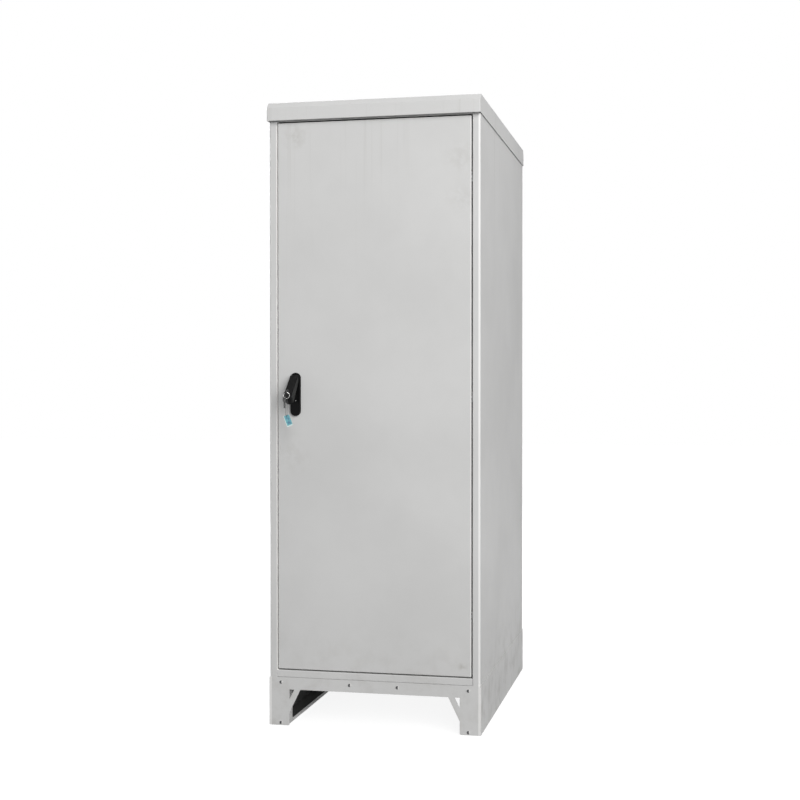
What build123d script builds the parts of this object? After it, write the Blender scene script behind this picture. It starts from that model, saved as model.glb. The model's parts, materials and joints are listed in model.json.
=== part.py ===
from build123d import *
import math
import os

os.makedirs("parts", exist_ok=True)

# Roadside utility cabinet: a folded sheet-metal body on a legged plinth, with a flush
# front door on concealed hinges, a capped roof, and a swing lever that drives two
# locking rods through a rack and pinion. Millimetres, +Z up. The origin is the middle
# of the footprint at ground level, the front faces -Y.

# Driving dimensions of the body
width = 700.0
depth = 1000.0
body_top = 2012.0
sheet = 2.0
bend = 2.7
corner_bend = 5.0
fit_gap = 0.3

# Plinth
plinth_height = 158.0
plinth_sheet = 2.5
plinth_proud = 2.0
plinth_rail = 39.5
plinth_leg = 68.5
plinth_kink = 43.0
gusset_reach = 37.0
gusset_hole = 16.5
plinth_top_flange = 25.0
crossbar_depth = 25.0
plinth_screw_drop = 16.5
plinth_screw_inset = 40.0
plinth_screw_inner = 79.5
plinth_screw_low = 9.0
base_bolt_inset = 120.0
plinth_flange = 62.0
leg_corner = 5.0
anchor_radius = 7.0
anchor_inset_x = 32.0
anchor_inset_y = 60.0

# Door opening and door
stile_width = 25.0
sill_height = 23.5
header_height = 37.5
door_gap = 4.0
door_edge = 2.5
pan_depth = 20.0
pan_fold = 21.5
seal_depth = 27.0
lip_width = 26.0
gasket_width = 10.0
gasket_inset = 11.5
stiffener_width = 60.0
stiffener_depth = 16.0
stiffener_offset = 150.0
stiffener_flange = 14.0
stiffener_end_gap = 40.0

# Rear panel
rear_rebate = 6.0
rear_lip = 30.0
rear_gap = 1.5
rear_seal_width = 12.0
rear_screw_inset = 21.5
rear_screw_rows = 4

# Roof cap
roof_height = 60.5
roof_drop = 35.0
roof_chamfer = 19.0
roof_front = 18.0
roof_rear = 9.0
roof_side = 3.0
roof_flange = 12.0
roof_stud_inset = 70.0
roof_pad_radius = 11.0
roof_stud_radius = 4.0
roof_stud_length = 13.0

# Floor trays
tray_upturn = 30.0
seal_slot = 60.0
seal_slot_middle = 180.0
seal_thickness = 22.0

# Rack inside
unit_height = 44.45
rack_units = 36
rack_hole = 9.5
rack_hole_spacing = 465.1
rack_second_step = 15.875
upright_face = 30.0
upright_depth = 45.0
upright_setback = 80.0
rail_thickness = 2.5
cross_rail_depth = 25.0
upright_foot = 20.0
upright_hole_inset = 9.0
rail_height_above_floor = 72.0
depth_rail_height = 36.0
depth_rail_width = 26.0
depth_rail_end = 40.0
rear_cross_distance = 500.0
earth_setback = 130.0
earth_height = 150.0
earth_length = 28.0

# Hinges
hinge_count = 3
hinge_inset = 8.0
hinge_end_distance = 190.0
knuckle_radius = 4.5
hinge_pin_radius = 3.0
running_clearance = 0.05
hinge_arm_height = 30.0
hinge_screw_spacing = 15.0
hinge_leaf_knuckle = 20.0
hinge_side_gap = 0.5
hinge_plate = 3.0
hinge_leaf_reach = 44.0
hinge_slot_gap = 2.0
hinge_screw_radius = 2.0
hinge_screw_head = 3.4
hinge_screw_length = 7.0

# Lock plate and lever
lock_x = -260.0
lock_pivot_z = 1139.0
plate_length = 141.0
plate_width = 34.0
plate_thickness = 8.0
plate_edge = 2.5
plate_recess = 1.2
plate_rim = 3.5
plate_stud_high = 30.0
plate_stud_low = 108.0
stud_radius = 2.5
stud_length = 10.0
stud_nut_across = 8.0
stud_nut_height = 4.0
lever_length = 102.0
lever_width = 27.0
lever_head_radius = 8.0
lever_tip_thickness = 30.0
lever_wall = 3.5
lever_lift = 0.5
lever_open_deg = 38.0
lever_edge = 1.6
lever_nose = 6.0
lever_outer_faces = 3
lever_hollow = 10.0
lever_pin_radius = 2.5
key_reach = 88.0
barrel_radius = 9.0
plug_radius = 6.0
barrel_proud = 0.8
cam_length = 11.5
cam_depth = 2.7
cam_play = 0.4
cam_pocket_radius = 12.0
cam_pocket_depth = 4.3
cam_thickness = 2.0
cam_width = 6.0
catch_reach = 73.0
catch_notch = 1.6
catch_length = 9.0
catch_width = 12.0
catch_height = 7.5
hub_radius = 13.0
hub_thickness = 1.4
hub_gap = 0.1
tongue_width = 12.0
tongue_radius = 5.5
tongue_gap = 0.4
tongue_slot_rise = 3.9
spindle_radius = 6.0
spindle_hole = 8.0

# Rack and pinion
gear_module = 1.5
gear_teeth = 16
pressure_deg = 20.0
gear_backlash = 0.24
rod_setback = 32.0
rod_thickness = 4.0
rod_width = 12.0
rod_shortfall = 1.0
rack_teeth_above = 9
rack_teeth_below = 5
rack_tail = 18.0
gear_addendum = 0.9
gear_dedendum = 1.25
flank_points = 4
spindle_square = 8.0
case_length = 120.0
case_channel = 4.8
case_ear_reach = 68.0
case_ear_radius = 8.0
case_screw_head = 2.6
case_screw_depth = 7.0
case_wall = 3.0
case_gap = 0.4
case_cover = 2.0
case_screw_inset = 7.0
case_screw_radius = 1.4
guide_height = 14.0
guide_wall = 4.0
guide_end_distance = 130.0
tip_height = 18.0
tip_wall = 2.0
tip_ramp = 6.0

# Keys, ring and tag
key_turn_rest_deg = 60.0
key_thickness = 2.6
key_bow_width = 22.0
key_bow_length = 17.0
key_eye_radius = 3.6
key_neck = 4.0
key_neck_width = 9.0
key_bow_corner = 6.0
eye_inset = 5.8
eye_seat = 0.5
blade_width = 7.6
blade_length = 17.0
blade_thickness = 2.0
blade_gap = 0.15
ring_radius = 10.0
ring_turn_deg = 20.0
wire_radius = 0.6
loop_length = 58.0
loop_width = 12.0
tag_length = 37.0
tag_width = 21.0
tag_thickness = 3.0
tag_lean_deg = 22.0
tag_eye_radius = 2.0
tag_corner = 3.0
spare_hang_deg = 38.0
spare_turn_deg = 42.0

# Fasteners
screw_radius = 2.9
screw_head_radius = 5.2
screw_head_height = 2.6
screw_head_round = 1.3
screw_length = 9.0
hole_clearance = 0.2
bolt_radius = 5.0
bolt_across = 16.0
hexagon = 6
bolt_head_height = 6.4
bolt_length = 14.0
nut_height = 6.0

# Places worked out from the driving dimensions
front_y = -depth / 2
rear_y = depth / 2
side_x = width / 2
opening_x = side_x - stile_width
opening_bottom = plinth_height + sill_height
opening_top = body_top - header_height
door_x = opening_x - door_gap
door_bottom = opening_bottom + door_gap
door_top = opening_top - door_gap
door_middle = (door_bottom + door_top) / 2
lip_x = opening_x - lip_width
pivot_x = door_x - hinge_inset
anchor_x = side_x + plinth_proud - anchor_inset_x
anchor_y = rear_y - anchor_inset_y
wall_height = body_top - plinth_height
roof_bottom = body_top - roof_drop
roof_top = roof_bottom + roof_height
pitch_radius = gear_module * gear_teeth / 2


def front(behind):
    """A sketch plane parallel to the front: local x is X, local y is Z, out is -Y."""
    return Plane(origin=(0, front_y + behind, 0), x_dir=(1, 0, 0), z_dir=(0, -1, 0))


def back(inside):
    """A sketch plane parallel to the rear: local x is -X, local y is Z, out is +Y."""
    return Plane(origin=(0, rear_y - inside, 0), x_dir=(-1, 0, 0), z_dir=(0, 1, 0))


def section(x):
    """A sketch plane across the cabinet: local x is Y, local y is Z, out is +X."""
    return Plane(origin=(x, 0, 0), x_dir=(0, 1, 0), z_dir=(1, 0, 0))


def folded(points, thickness=sheet, radius=bend):
    """The section of one folded sheet. Its visible side follows the points."""
    with BuildSketch() as profile:
        with BuildLine():
            FilletPolyline(*points, radius=radius)
            offset(amount=thickness, side=Side.RIGHT)
        make_face()
    return profile.sketch_local


def save(name, label):
    name.part.label = label
    export_step(name.part, "parts/" + label + ".step")


# Side walls, each one sheet: door stile and sealing lip, wall, rear stile and rear lip
hinge_span = door_top - door_bottom - 2 * hinge_end_distance
hinge_heights = [
    door_bottom + hinge_end_distance + hinge_span * i / (hinge_count - 1)
    for i in range(hinge_count)
]
hinge_foot_x = pivot_x + hinge_plate / 2 + hinge_screw_head + fit_gap
hinge_screws_at = [
    (hinge_foot_x, z + side * hinge_screw_spacing / 2)
    for z in hinge_heights
    for side in (-1, 1)
]
rear_lip_x = opening_x - rear_lip
rear_screw_x = opening_x - rear_screw_inset
rear_panel_x = opening_x - rear_gap
rear_panel_height = wall_height - 2 * rear_gap
rear_middle = plinth_height + wall_height / 2
rear_screw_step = (rear_panel_height - 2 * rear_lip) / (rear_screw_rows - 1)
wall_path = [
    (-lip_x, front_y + seal_depth),
    (-opening_x, front_y + seal_depth),
    (-opening_x, front_y),
    (-side_x, front_y),
    (-side_x, rear_y),
    (-opening_x, rear_y),
    (-opening_x, rear_y - rear_rebate),
    (-rear_lip_x, rear_y - rear_rebate),
]
wall_bends = [bend, bend, corner_bend, bend, bend, bend]

with BuildPart() as left_side_wall:
    with BuildSketch(Plane.XY.offset(plinth_height)):
        add(folded(wall_path, sheet, wall_bends))
    extrude(amount=wall_height)
    with BuildSketch(back(rear_rebate)):
        with Locations((rear_screw_x, rear_middle)):
            with GridLocations(0, rear_screw_step, 1, rear_screw_rows):
                Circle(screw_radius + hole_clearance)
    extrude(amount=-sheet, mode=Mode.SUBTRACT)
save(left_side_wall, "left_side_wall")

with BuildPart() as right_side_wall:
    mirror(left_side_wall.part, about=Plane.YZ)
    with BuildSketch(front(seal_depth)):
        with Locations(*hinge_screws_at):
            Circle(hinge_screw_radius + hole_clearance)
    extrude(amount=-sheet, mode=Mode.SUBTRACT)
save(right_side_wall, "right_side_wall")


# Sill and header close the door frame below and above
def frame_bar(path, low):
    """One folded bar across the door opening, notched where the side lips pass."""
    with BuildPart() as bar:
        with BuildSketch(section(-opening_x)):
            add(folded(path))
        extrude(amount=2 * opening_x)
        with BuildSketch(Plane.XY.offset(low)):
            with Locations((0, front_y + seal_depth + sheet)):
                with GridLocations(opening_x + lip_x, 0, 2, 1):
                    Rectangle(lip_width, 2 * (bend + sheet))
        extrude(amount=header_height + lip_width, mode=Mode.SUBTRACT)
    return bar.part


sill_path = [
    (front_y + seal_depth, plinth_height),
    (front_y, plinth_height),
    (front_y, opening_bottom),
    (front_y + seal_depth, opening_bottom),
    (front_y + seal_depth, opening_bottom + lip_width),
]
header_path = [
    (front_y + seal_depth, opening_top - lip_width),
    (front_y + seal_depth, opening_top),
    (front_y, opening_top),
    (front_y, body_top),
    (front_y + seal_depth, body_top),
]

with BuildPart() as front_sill:
    add(frame_bar(sill_path, plinth_height))
save(front_sill, "front_sill")

with BuildPart() as front_header:
    add(frame_bar(header_path, opening_top - lip_width))
save(front_header, "front_header")

# Rear: a header angle, the screwed panel and its foam seal
with BuildPart() as rear_header:
    with BuildSketch(section(-rear_lip_x)):
        rear_path = [
            (rear_y - rear_rebate - rear_lip, body_top),
            (rear_y - rear_rebate, body_top),
            (rear_y - rear_rebate, body_top - rear_lip),
        ]
        add(folded(rear_path))
    extrude(amount=2 * rear_lip_x)
save(rear_header, "rear_header")


def rear_screws(radius):
    """A sketch of one circle at each screw of the rear panel."""
    with BuildSketch() as circles:
        with Locations((0, rear_middle)):
            with GridLocations(2 * rear_screw_x, rear_screw_step, 2, rear_screw_rows):
                Circle(radius)
    return circles.sketch_local


with BuildPart() as rear_panel:
    with BuildSketch(back(0)):
        with Locations((0, rear_middle)):
            RectangleRounded(2 * rear_panel_x, rear_panel_height, bend)
        add(rear_screws(screw_radius + hole_clearance), mode=Mode.SUBTRACT)
    extrude(amount=-sheet)
save(rear_panel, "rear_panel")

rear_seal_x = rear_panel_x - bend
rear_seal_height = rear_panel_height - 2 * bend
with BuildPart() as rear_seal:
    with BuildSketch(back(sheet)):
        with Locations((0, rear_middle)):
            Rectangle(2 * rear_seal_x, rear_seal_height)
            Rectangle(
                2 * (rear_seal_x - rear_seal_width),
                rear_seal_height - 2 * rear_seal_width,
                mode=Mode.SUBTRACT,
            )
    extrude(amount=-(rear_rebate - sheet))
save(rear_seal, "rear_seal")

with BuildPart() as rear_panel_screws:
    with BuildSketch(back(0)):
        add(rear_screws(screw_head_radius))
    extrude(amount=screw_head_height)
    fillet(rear_panel_screws.faces().group_by(Axis.Y)[-1].edges(), screw_head_round)
    with BuildSketch(back(0)):
        add(rear_screws(screw_radius))
    extrude(amount=-screw_length)
save(rear_panel_screws, "rear_panel_screws")

# Top panel, and the roof cap that stands on it by four welded studs
stud_x = side_x - roof_stud_inset
stud_y = rear_y - roof_stud_inset
roof_width = width + 2 * roof_side
roof_depth = depth + roof_front + roof_rear
roof_middle = (roof_rear - roof_front) / 2
roof_front_y = front_y - roof_front

with BuildPart() as top_panel:
    with BuildSketch(Plane.XY.offset(body_top)):
        Rectangle(width, depth)
        with GridLocations(2 * stud_x, 2 * stud_y, 2, 2):
            Circle(roof_stud_radius + hole_clearance, mode=Mode.SUBTRACT)
    extrude(amount=sheet)
save(top_panel, "top_panel")

with BuildPart() as roof_cap:
    with BuildSketch(Plane.XY.offset(roof_bottom)):
        with Locations((0, roof_middle)):
            Rectangle(roof_width, roof_depth)
    extrude(amount=roof_height)
    chamfer(roof_cap.faces().sort_by(Axis.Z)[-1].edges().filter_by(Axis.X), roof_chamfer)
    offset(amount=-sheet, openings=roof_cap.faces().sort_by(Axis.Z)[0])
    with BuildSketch(Plane.XY.offset(roof_bottom)):
        with Locations((0, roof_front_y + sheet / 2 + roof_flange / 2)):
            Rectangle(roof_width - 2 * bend, roof_flange - sheet)
    extrude(amount=sheet)
    with BuildSketch(Plane.XY.offset(body_top + sheet)):
        with GridLocations(2 * stud_x, 2 * stud_y, 2, 2):
            Circle(roof_pad_radius)
    extrude(amount=roof_top - body_top - 2 * sheet)
    with BuildSketch(Plane.XY.offset(body_top + sheet)):
        with GridLocations(2 * stud_x, 2 * stud_y, 2, 2):
            Circle(roof_stud_radius)
    extrude(amount=-roof_stud_length)
save(roof_cap, "roof_cap")

with BuildPart() as roof_nuts:
    with BuildSketch(Plane.XY.offset(body_top)):
        with GridLocations(2 * stud_x, 2 * stud_y, 2, 2):
            RegularPolygon(bolt_across / 2, hexagon, major_radius=False)
            Circle(roof_stud_radius, mode=Mode.SUBTRACT)
    extrude(amount=-nut_height)
save(roof_nuts, "roof_nuts")

# Floor: two upturned trays with a foam-sealed cable slot between them
tray_x = side_x - sheet
slot_front = seal_slot_middle - seal_slot / 2
slot_rear = seal_slot_middle + seal_slot / 2
tray_front = front_y + seal_depth + bend
tray_rear = rear_y - rear_rebate
plinth_x = side_x + plinth_proud
base_bolt_x = plinth_x - anchor_inset_x
base_bolt_y = rear_y - base_bolt_inset


def base_bolts_at(radius):
    """A sketch of one circle at each bolt between the floor and the plinth."""
    with BuildSketch() as circles:
        with GridLocations(2 * base_bolt_x, 2 * base_bolt_y, 2, 2):
            Circle(radius)
    return circles.sketch_local


def tray(start, end):
    """A floor tray with its four sides turned up, from start to end along Y."""
    with BuildPart() as pan:
        with BuildSketch(Plane.XY.offset(plinth_height)):
            with Locations((0, (start + end) / 2)):
                Rectangle(2 * tray_x, end - start)
        extrude(amount=tray_upturn)
        with BuildSketch(Plane.XY.offset(plinth_height + sheet)):
            with Locations((0, (start + end) / 2)):
                Rectangle(2 * (tray_x - sheet), end - start - 2 * sheet)
        extrude(amount=tray_upturn, mode=Mode.SUBTRACT)
        with BuildSketch(Plane.XY.offset(plinth_height)):
            add(base_bolts_at(bolt_radius + hole_clearance))
        extrude(amount=sheet, mode=Mode.SUBTRACT)
    return pan.part


with BuildPart() as base_tray_front:
    add(tray(tray_front, slot_front))
save(base_tray_front, "base_tray_front")

with BuildPart() as base_tray_rear:
    add(tray(slot_rear, tray_rear))
    with BuildSketch(Plane.XY.offset(plinth_height)):
        with Locations((0, tray_rear)):
            with GridLocations(2 * tray_x, 0, 2, 1):
                Rectangle(2 * (tray_x - rear_lip_x + fit_gap), 2 * (sheet + bend))
    extrude(amount=tray_upturn, mode=Mode.SUBTRACT)
save(base_tray_rear, "base_tray_rear")

with BuildPart() as cable_seals:
    with BuildSketch(Plane.XY.offset(plinth_height)):
        with Locations((0, seal_slot_middle)):
            with GridLocations(0, seal_slot / 2, 1, 2):
                Rectangle(2 * (tray_x - fit_gap), seal_slot / 2 - fit_gap)
    extrude(amount=seal_thickness)
save(cable_seals, "cable_seals")

# Plinth: front and rear sheets with legs, gussets and lightening holes, and side trays
leg_inner = plinth_x - plinth_leg
rail_bottom = plinth_height - plinth_rail
gusset_inner = leg_inner - gusset_reach
gusset_slope = (rail_bottom - plinth_kink) / gusset_reach
side_inner_x = plinth_x - plinth_flange
plinth_side_length = depth - 2 * plinth_sheet
screw_upper_z = plinth_height - plinth_screw_drop
screw_outer_x = plinth_x - plinth_screw_inset


def plinth_screws_at(radius):
    """A sketch of one circle at each screw in the plinth's front or rear sheet."""
    with BuildSketch() as circles:
        with Locations((0, screw_upper_z)):
            with GridLocations(2 * screw_outer_x, 0, 2, 1):
                Circle(radius)
            with GridLocations(2 * plinth_screw_inner, 0, 2, 1):
                Circle(radius)
        with Locations((0, plinth_screw_low)):
            with GridLocations(2 * screw_outer_x, 0, 2, 1):
                Circle(radius)
    return circles.sketch_local


with BuildPart() as plinth_front:
    with BuildSketch(front(0)) as outline:
        with Locations((0, plinth_height / 2)):
            Rectangle(2 * plinth_x, plinth_height)
        with BuildLine():
            Polyline(
                (-leg_inner, 0),
                (-leg_inner, plinth_kink),
                (-gusset_inner, rail_bottom),
                (gusset_inner, rail_bottom),
                (leg_inner, plinth_kink),
                (leg_inner, 0),
                close=True,
            )
        make_face(mode=Mode.SUBTRACT)
        for side in (-1, 1):
            with BuildLine():
                Polyline(
                    (side * leg_inner, rail_bottom),
                    (side * (leg_inner - gusset_hole), rail_bottom),
                    (side * leg_inner, rail_bottom - gusset_hole * gusset_slope),
                    close=True,
                )
            make_face(mode=Mode.SUBTRACT)
        inner_feet = outline.vertices().group_by(Axis.Y)[0].filter_by(
            lambda corner: abs(corner.X) < plinth_x - 1
        )
        fillet(inner_feet, leg_corner)
        add(plinth_screws_at(screw_radius + hole_clearance), mode=Mode.SUBTRACT)
    extrude(amount=-plinth_sheet)
    with BuildSketch(front(plinth_sheet)):
        with Locations((0, plinth_height - plinth_sheet / 2)):
            Rectangle(2 * (side_inner_x - fit_gap), plinth_sheet)
    extrude(amount=-plinth_top_flange)
save(plinth_front, "plinth_front")

with BuildPart() as plinth_rear:
    mirror(plinth_front.part, about=Plane.XZ)
save(plinth_rear, "plinth_rear")

with BuildPart() as plinth_left:
    with BuildSketch(section(-plinth_x)):
        with Locations((0, plinth_height / 2)):
            Rectangle(plinth_side_length, plinth_height)
    extrude(amount=plinth_flange)
    with BuildSketch(section(-plinth_x + plinth_sheet)):
        with Locations((0, plinth_height / 2)):
            Rectangle(plinth_side_length - 2 * plinth_sheet, plinth_height - 2 * plinth_sheet)
    extrude(amount=plinth_flange, mode=Mode.SUBTRACT)
    with BuildSketch(Plane.XY):
        with GridLocations(2 * anchor_x, 2 * anchor_y, 2, 2):
            Circle(anchor_radius)
    extrude(amount=plinth_sheet, mode=Mode.SUBTRACT)
    with BuildSketch(Plane.XY.offset(plinth_height)):
        add(base_bolts_at(bolt_radius + hole_clearance))
    extrude(amount=-plinth_sheet, mode=Mode.SUBTRACT)
    with BuildSketch(front(0)):
        add(plinth_screws_at(screw_radius + hole_clearance))
    extrude(amount=-depth, mode=Mode.SUBTRACT)
save(plinth_left, "plinth_left")

with BuildPart() as plinth_right:
    mirror(plinth_left.part, about=Plane.YZ)
save(plinth_right, "plinth_right")

crossbar_drop = plinth_sheet + fit_gap
crossbar_height = plinth_rail - crossbar_drop
with BuildPart() as plinth_crossbars:
    with BuildSketch(section(-side_inner_x + fit_gap)):
        crossbar_path = [
            (front_y + plinth_sheet + crossbar_depth, rail_bottom),
            (front_y + plinth_sheet, rail_bottom),
            (front_y + plinth_sheet, rail_bottom + crossbar_height),
            (front_y + plinth_sheet + crossbar_depth, rail_bottom + crossbar_height),
        ]
        add(folded(crossbar_path, plinth_sheet, bend + fit_gap))
    extrude(amount=2 * (side_inner_x - fit_gap))
    with BuildSketch(front(0)):
        add(plinth_screws_at(screw_radius + hole_clearance))
    extrude(amount=-crossbar_depth, mode=Mode.SUBTRACT)
    mirror(about=Plane.XZ)
save(plinth_crossbars, "plinth_crossbars")

with BuildPart() as plinth_screws:
    with BuildSketch(front(0)):
        add(plinth_screws_at(screw_head_radius))
    extrude(amount=screw_head_height)
    fillet(plinth_screws.faces().group_by(Axis.Y)[0].edges(), screw_head_round)
    with BuildSketch(front(0)):
        add(plinth_screws_at(screw_radius))
    extrude(amount=-screw_length)
    mirror(about=Plane.XZ)
save(plinth_screws, "plinth_screws")

# Bolts that hold the body to the plinth
with BuildPart() as base_bolts:
    with BuildSketch(Plane.XY.offset(plinth_height + sheet)):
        with GridLocations(2 * base_bolt_x, 2 * base_bolt_y, 2, 2):
            RegularPolygon(bolt_across / 2, hexagon, major_radius=False)
    extrude(amount=bolt_head_height)
    with BuildSketch(Plane.XY.offset(plinth_height + sheet)):
        add(base_bolts_at(bolt_radius))
    extrude(amount=-bolt_length)
save(base_bolts, "base_bolts")

with BuildPart() as base_nuts:
    with BuildSketch(Plane.XY.offset(plinth_height - plinth_sheet)):
        with GridLocations(2 * base_bolt_x, 2 * base_bolt_y, 2, 2):
            RegularPolygon(bolt_across / 2, hexagon, major_radius=False)
        add(base_bolts_at(bolt_radius), mode=Mode.SUBTRACT)
    extrude(amount=-nut_height)
save(base_nuts, "base_nuts")

# Rack inside: depth rails on the walls, cross rails between them, two drilled uprights
rail_x = side_x - sheet
rail_inner_x = rail_x - depth_rail_width
rail_low_z = rail_height_above_floor + plinth_height
rail_high_z = body_top - rail_height_above_floor
rail_middle = (rail_low_z + rail_high_z) / 2
rail_spread = rail_high_z - rail_low_z
upright_y = front_y + upright_setback
cross_front_y = upright_y + upright_depth
upright_hole_x = rack_hole_spacing / 2
upright_inner_x = upright_hole_x - upright_hole_inset
upright_web_x = upright_inner_x + upright_face
upright_bolt_x = upright_web_x + upright_foot / 2
upright_length = rail_spread + depth_rail_height
rail_length = depth - 2 * depth_rail_end

with BuildPart() as depth_rails:
    with BuildSketch(front(depth_rail_end)):
        for side in (-1, 1):
            with Locations((side * (rail_x - depth_rail_width / 2), rail_middle)):
                with GridLocations(0, rail_spread, 1, 2):
                    Rectangle(depth_rail_width, depth_rail_height)
            hollow_x = side * (rail_x - (depth_rail_width - rail_thickness) / 2)
            with Locations((hollow_x, rail_middle)):
                with GridLocations(0, rail_spread, 1, 2):
                    Rectangle(
                        depth_rail_width - rail_thickness,
                        depth_rail_height - 2 * rail_thickness,
                        mode=Mode.SUBTRACT,
                    )
    extrude(amount=-rail_length)
save(depth_rails, "depth_rails")


def cross_rail(start):
    """The two cross rails, low and high, whose front faces lie at start along Y."""
    with BuildPart() as pair:
        with BuildSketch(section(-rail_inner_x)):
            with Locations((start + cross_rail_depth / 2, rail_middle)):
                with GridLocations(0, rail_spread, 1, 2):
                    Rectangle(cross_rail_depth, depth_rail_height)
            with Locations((start + (cross_rail_depth + rail_thickness) / 2, rail_middle)):
                with GridLocations(0, rail_spread, 1, 2):
                    Rectangle(
                        cross_rail_depth - rail_thickness,
                        depth_rail_height - 2 * rail_thickness,
                        mode=Mode.SUBTRACT,
                    )
        extrude(amount=2 * rail_inner_x)
    return pair.part


def upright_bolts_at(radius):
    """A sketch of one circle at each bolt between the uprights and the cross rails."""
    with BuildSketch() as circles:
        with Locations((0, rail_middle)):
            with GridLocations(2 * upright_bolt_x, rail_spread, 2, 2):
                Circle(radius)
    return circles.sketch_local


with BuildPart() as cross_rails:
    add(cross_rail(cross_front_y))
    add(cross_rail(cross_front_y + rear_cross_distance))
    with BuildSketch(front(upright_setback + upright_depth)):
        add(upright_bolts_at(screw_radius + hole_clearance))
    extrude(amount=-rail_thickness, mode=Mode.SUBTRACT)
save(cross_rails, "cross_rails")

with BuildPart() as rack_upright_left:
    with BuildSketch(Plane.XY.offset(rail_middle - upright_length / 2)):
        upright_path = [
            (-upright_web_x - upright_foot, cross_front_y),
            (-upright_web_x, cross_front_y),
            (-upright_web_x, upright_y),
            (-upright_inner_x, upright_y),
        ]
        add(folded(upright_path, rail_thickness, bend + fit_gap))
    extrude(amount=upright_length)
    with BuildSketch(front(upright_setback)):
        for hole_step in (0, rack_second_step, 2 * rack_second_step):
            with Locations((-upright_hole_x, rail_middle + hole_step - rack_second_step)):
                with GridLocations(0, unit_height, 1, rack_units):
                    Rectangle(rack_hole, rack_hole)
    extrude(amount=rail_thickness, mode=Mode.SUBTRACT)
    with BuildSketch(front(upright_setback + upright_depth)):
        add(upright_bolts_at(screw_radius + hole_clearance))
    extrude(amount=rail_thickness, mode=Mode.SUBTRACT)
save(rack_upright_left, "rack_upright_left")

with BuildPart() as rack_upright_right:
    mirror(rack_upright_left.part, about=Plane.YZ)
save(rack_upright_right, "rack_upright_right")

upright_foot_behind = upright_setback + upright_depth - rail_thickness
with BuildPart() as upright_bolts:
    with BuildSketch(front(upright_foot_behind)):
        add(upright_bolts_at(screw_head_radius))
    extrude(amount=screw_head_height)
    with BuildSketch(front(upright_foot_behind)):
        add(upright_bolts_at(screw_radius))
    extrude(amount=-screw_length)
save(upright_bolts, "upright_bolts")

# Earth stud on the left wall
with BuildPart() as earth_stud:
    with BuildSketch(section(-rail_x)):
        with Locations((front_y + earth_setback, plinth_height + earth_height)):
            Circle(roof_pad_radius)
    extrude(amount=sheet)
    with BuildSketch(section(-rail_x)):
        with Locations((front_y + earth_setback, plinth_height + earth_height)):
            Circle(roof_stud_radius)
    extrude(amount=earth_length)
save(earth_stud, "earth_stud")

with BuildPart() as earth_nut:
    with BuildSketch(section(-rail_x + sheet)):
        with Locations((front_y + earth_setback, plinth_height + earth_height)):
            RegularPolygon(bolt_across / 2, hexagon, major_radius=False)
            Circle(roof_stud_radius, mode=Mode.SUBTRACT)
    extrude(amount=nut_height)
save(earth_nut, "earth_nut")

# Door: a pan with its edges folded back and in, slotted where the hinge arms pass
door_height = door_top - door_bottom
pivot_y = front_y + hinge_inset
plate_middle_z = lock_pivot_z + plate_width / 2 - plate_length / 2
plate_studs_z = (lock_pivot_z - plate_stud_high, lock_pivot_z - plate_stud_low)
case_studs_z = (lock_pivot_z - case_ear_reach, lock_pivot_z + case_ear_reach)
hinge_slot_start = pivot_x - hinge_plate / 2 - hinge_side_gap
hinge_slot_end = door_x + hinge_slot_gap

with BuildPart() as door_skin:
    with BuildSketch(front(0)):
        with Locations((0, door_middle)):
            Rectangle(2 * door_x, door_height)
    extrude(amount=-pan_depth)
    fillet(door_skin.edges().filter_by(Axis.Y), bend)
    fillet(door_skin.faces().sort_by(Axis.Y)[0].edges(), door_edge)
    with BuildSketch(front(sheet)):
        with Locations((0, door_middle)):
            Rectangle(2 * (door_x - sheet), door_height - 2 * sheet)
    extrude(amount=-(pan_depth - 2 * sheet), mode=Mode.SUBTRACT)
    with BuildSketch(front(pan_depth)):
        with Locations((0, door_middle)):
            Rectangle(2 * (door_x - pan_fold), door_height - 2 * pan_fold)
    extrude(amount=sheet, mode=Mode.SUBTRACT)
    with BuildSketch(front(pan_depth)):
        for height in hinge_heights:
            with Locations(((hinge_slot_start + hinge_slot_end) / 2, height)):
                Rectangle(hinge_slot_end - hinge_slot_start, hinge_arm_height + 2 * hinge_slot_gap)
    extrude(amount=pan_depth - sheet - hinge_side_gap, mode=Mode.SUBTRACT)
    with BuildSketch(front(0)):
        with Locations((lock_x, lock_pivot_z)):
            Circle(spindle_hole)
        for height in plate_studs_z:
            with Locations((lock_x, height)):
                Circle(stud_radius + hole_clearance)
    extrude(amount=-sheet, mode=Mode.SUBTRACT)
    with BuildSketch(front(sheet)):
        for height in case_studs_z:
            with Locations((lock_x, height)):
                Circle(stud_radius)
    extrude(amount=-stud_length)
save(door_skin, "door_skin")

with BuildPart() as door_gasket:
    with BuildSketch(front(pan_depth)):
        with Locations((0, door_middle)):
            Rectangle(2 * (door_x - gasket_inset), door_height - 2 * gasket_inset)
            Rectangle(
                2 * (door_x - gasket_inset - gasket_width),
                door_height - 2 * (gasket_inset + gasket_width),
                mode=Mode.SUBTRACT,
            )
    extrude(amount=-(seal_depth - pan_depth - fit_gap))
save(door_gasket, "door_gasket")

stiffener_low = door_bottom + stiffener_end_gap
stiffener_foot_y = front_y + 2 * sheet
stiffener_top_y = front_y + sheet + stiffener_depth
with BuildPart() as door_stiffeners:
    with BuildSketch(Plane.XY.offset(stiffener_low)):
        for middle in (-stiffener_offset, stiffener_offset):
            edge = stiffener_width / 2
            web = edge - stiffener_flange
            stiffener_path = [
                (middle - edge, stiffener_foot_y),
                (middle - web, stiffener_foot_y),
                (middle - web, stiffener_top_y),
                (middle + web, stiffener_top_y),
                (middle + web, stiffener_foot_y),
                (middle + edge, stiffener_foot_y),
            ]
            add(folded(stiffener_path))
    extrude(amount=door_height - 2 * stiffener_end_gap)
save(door_stiffeners, "door_stiffeners")

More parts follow.
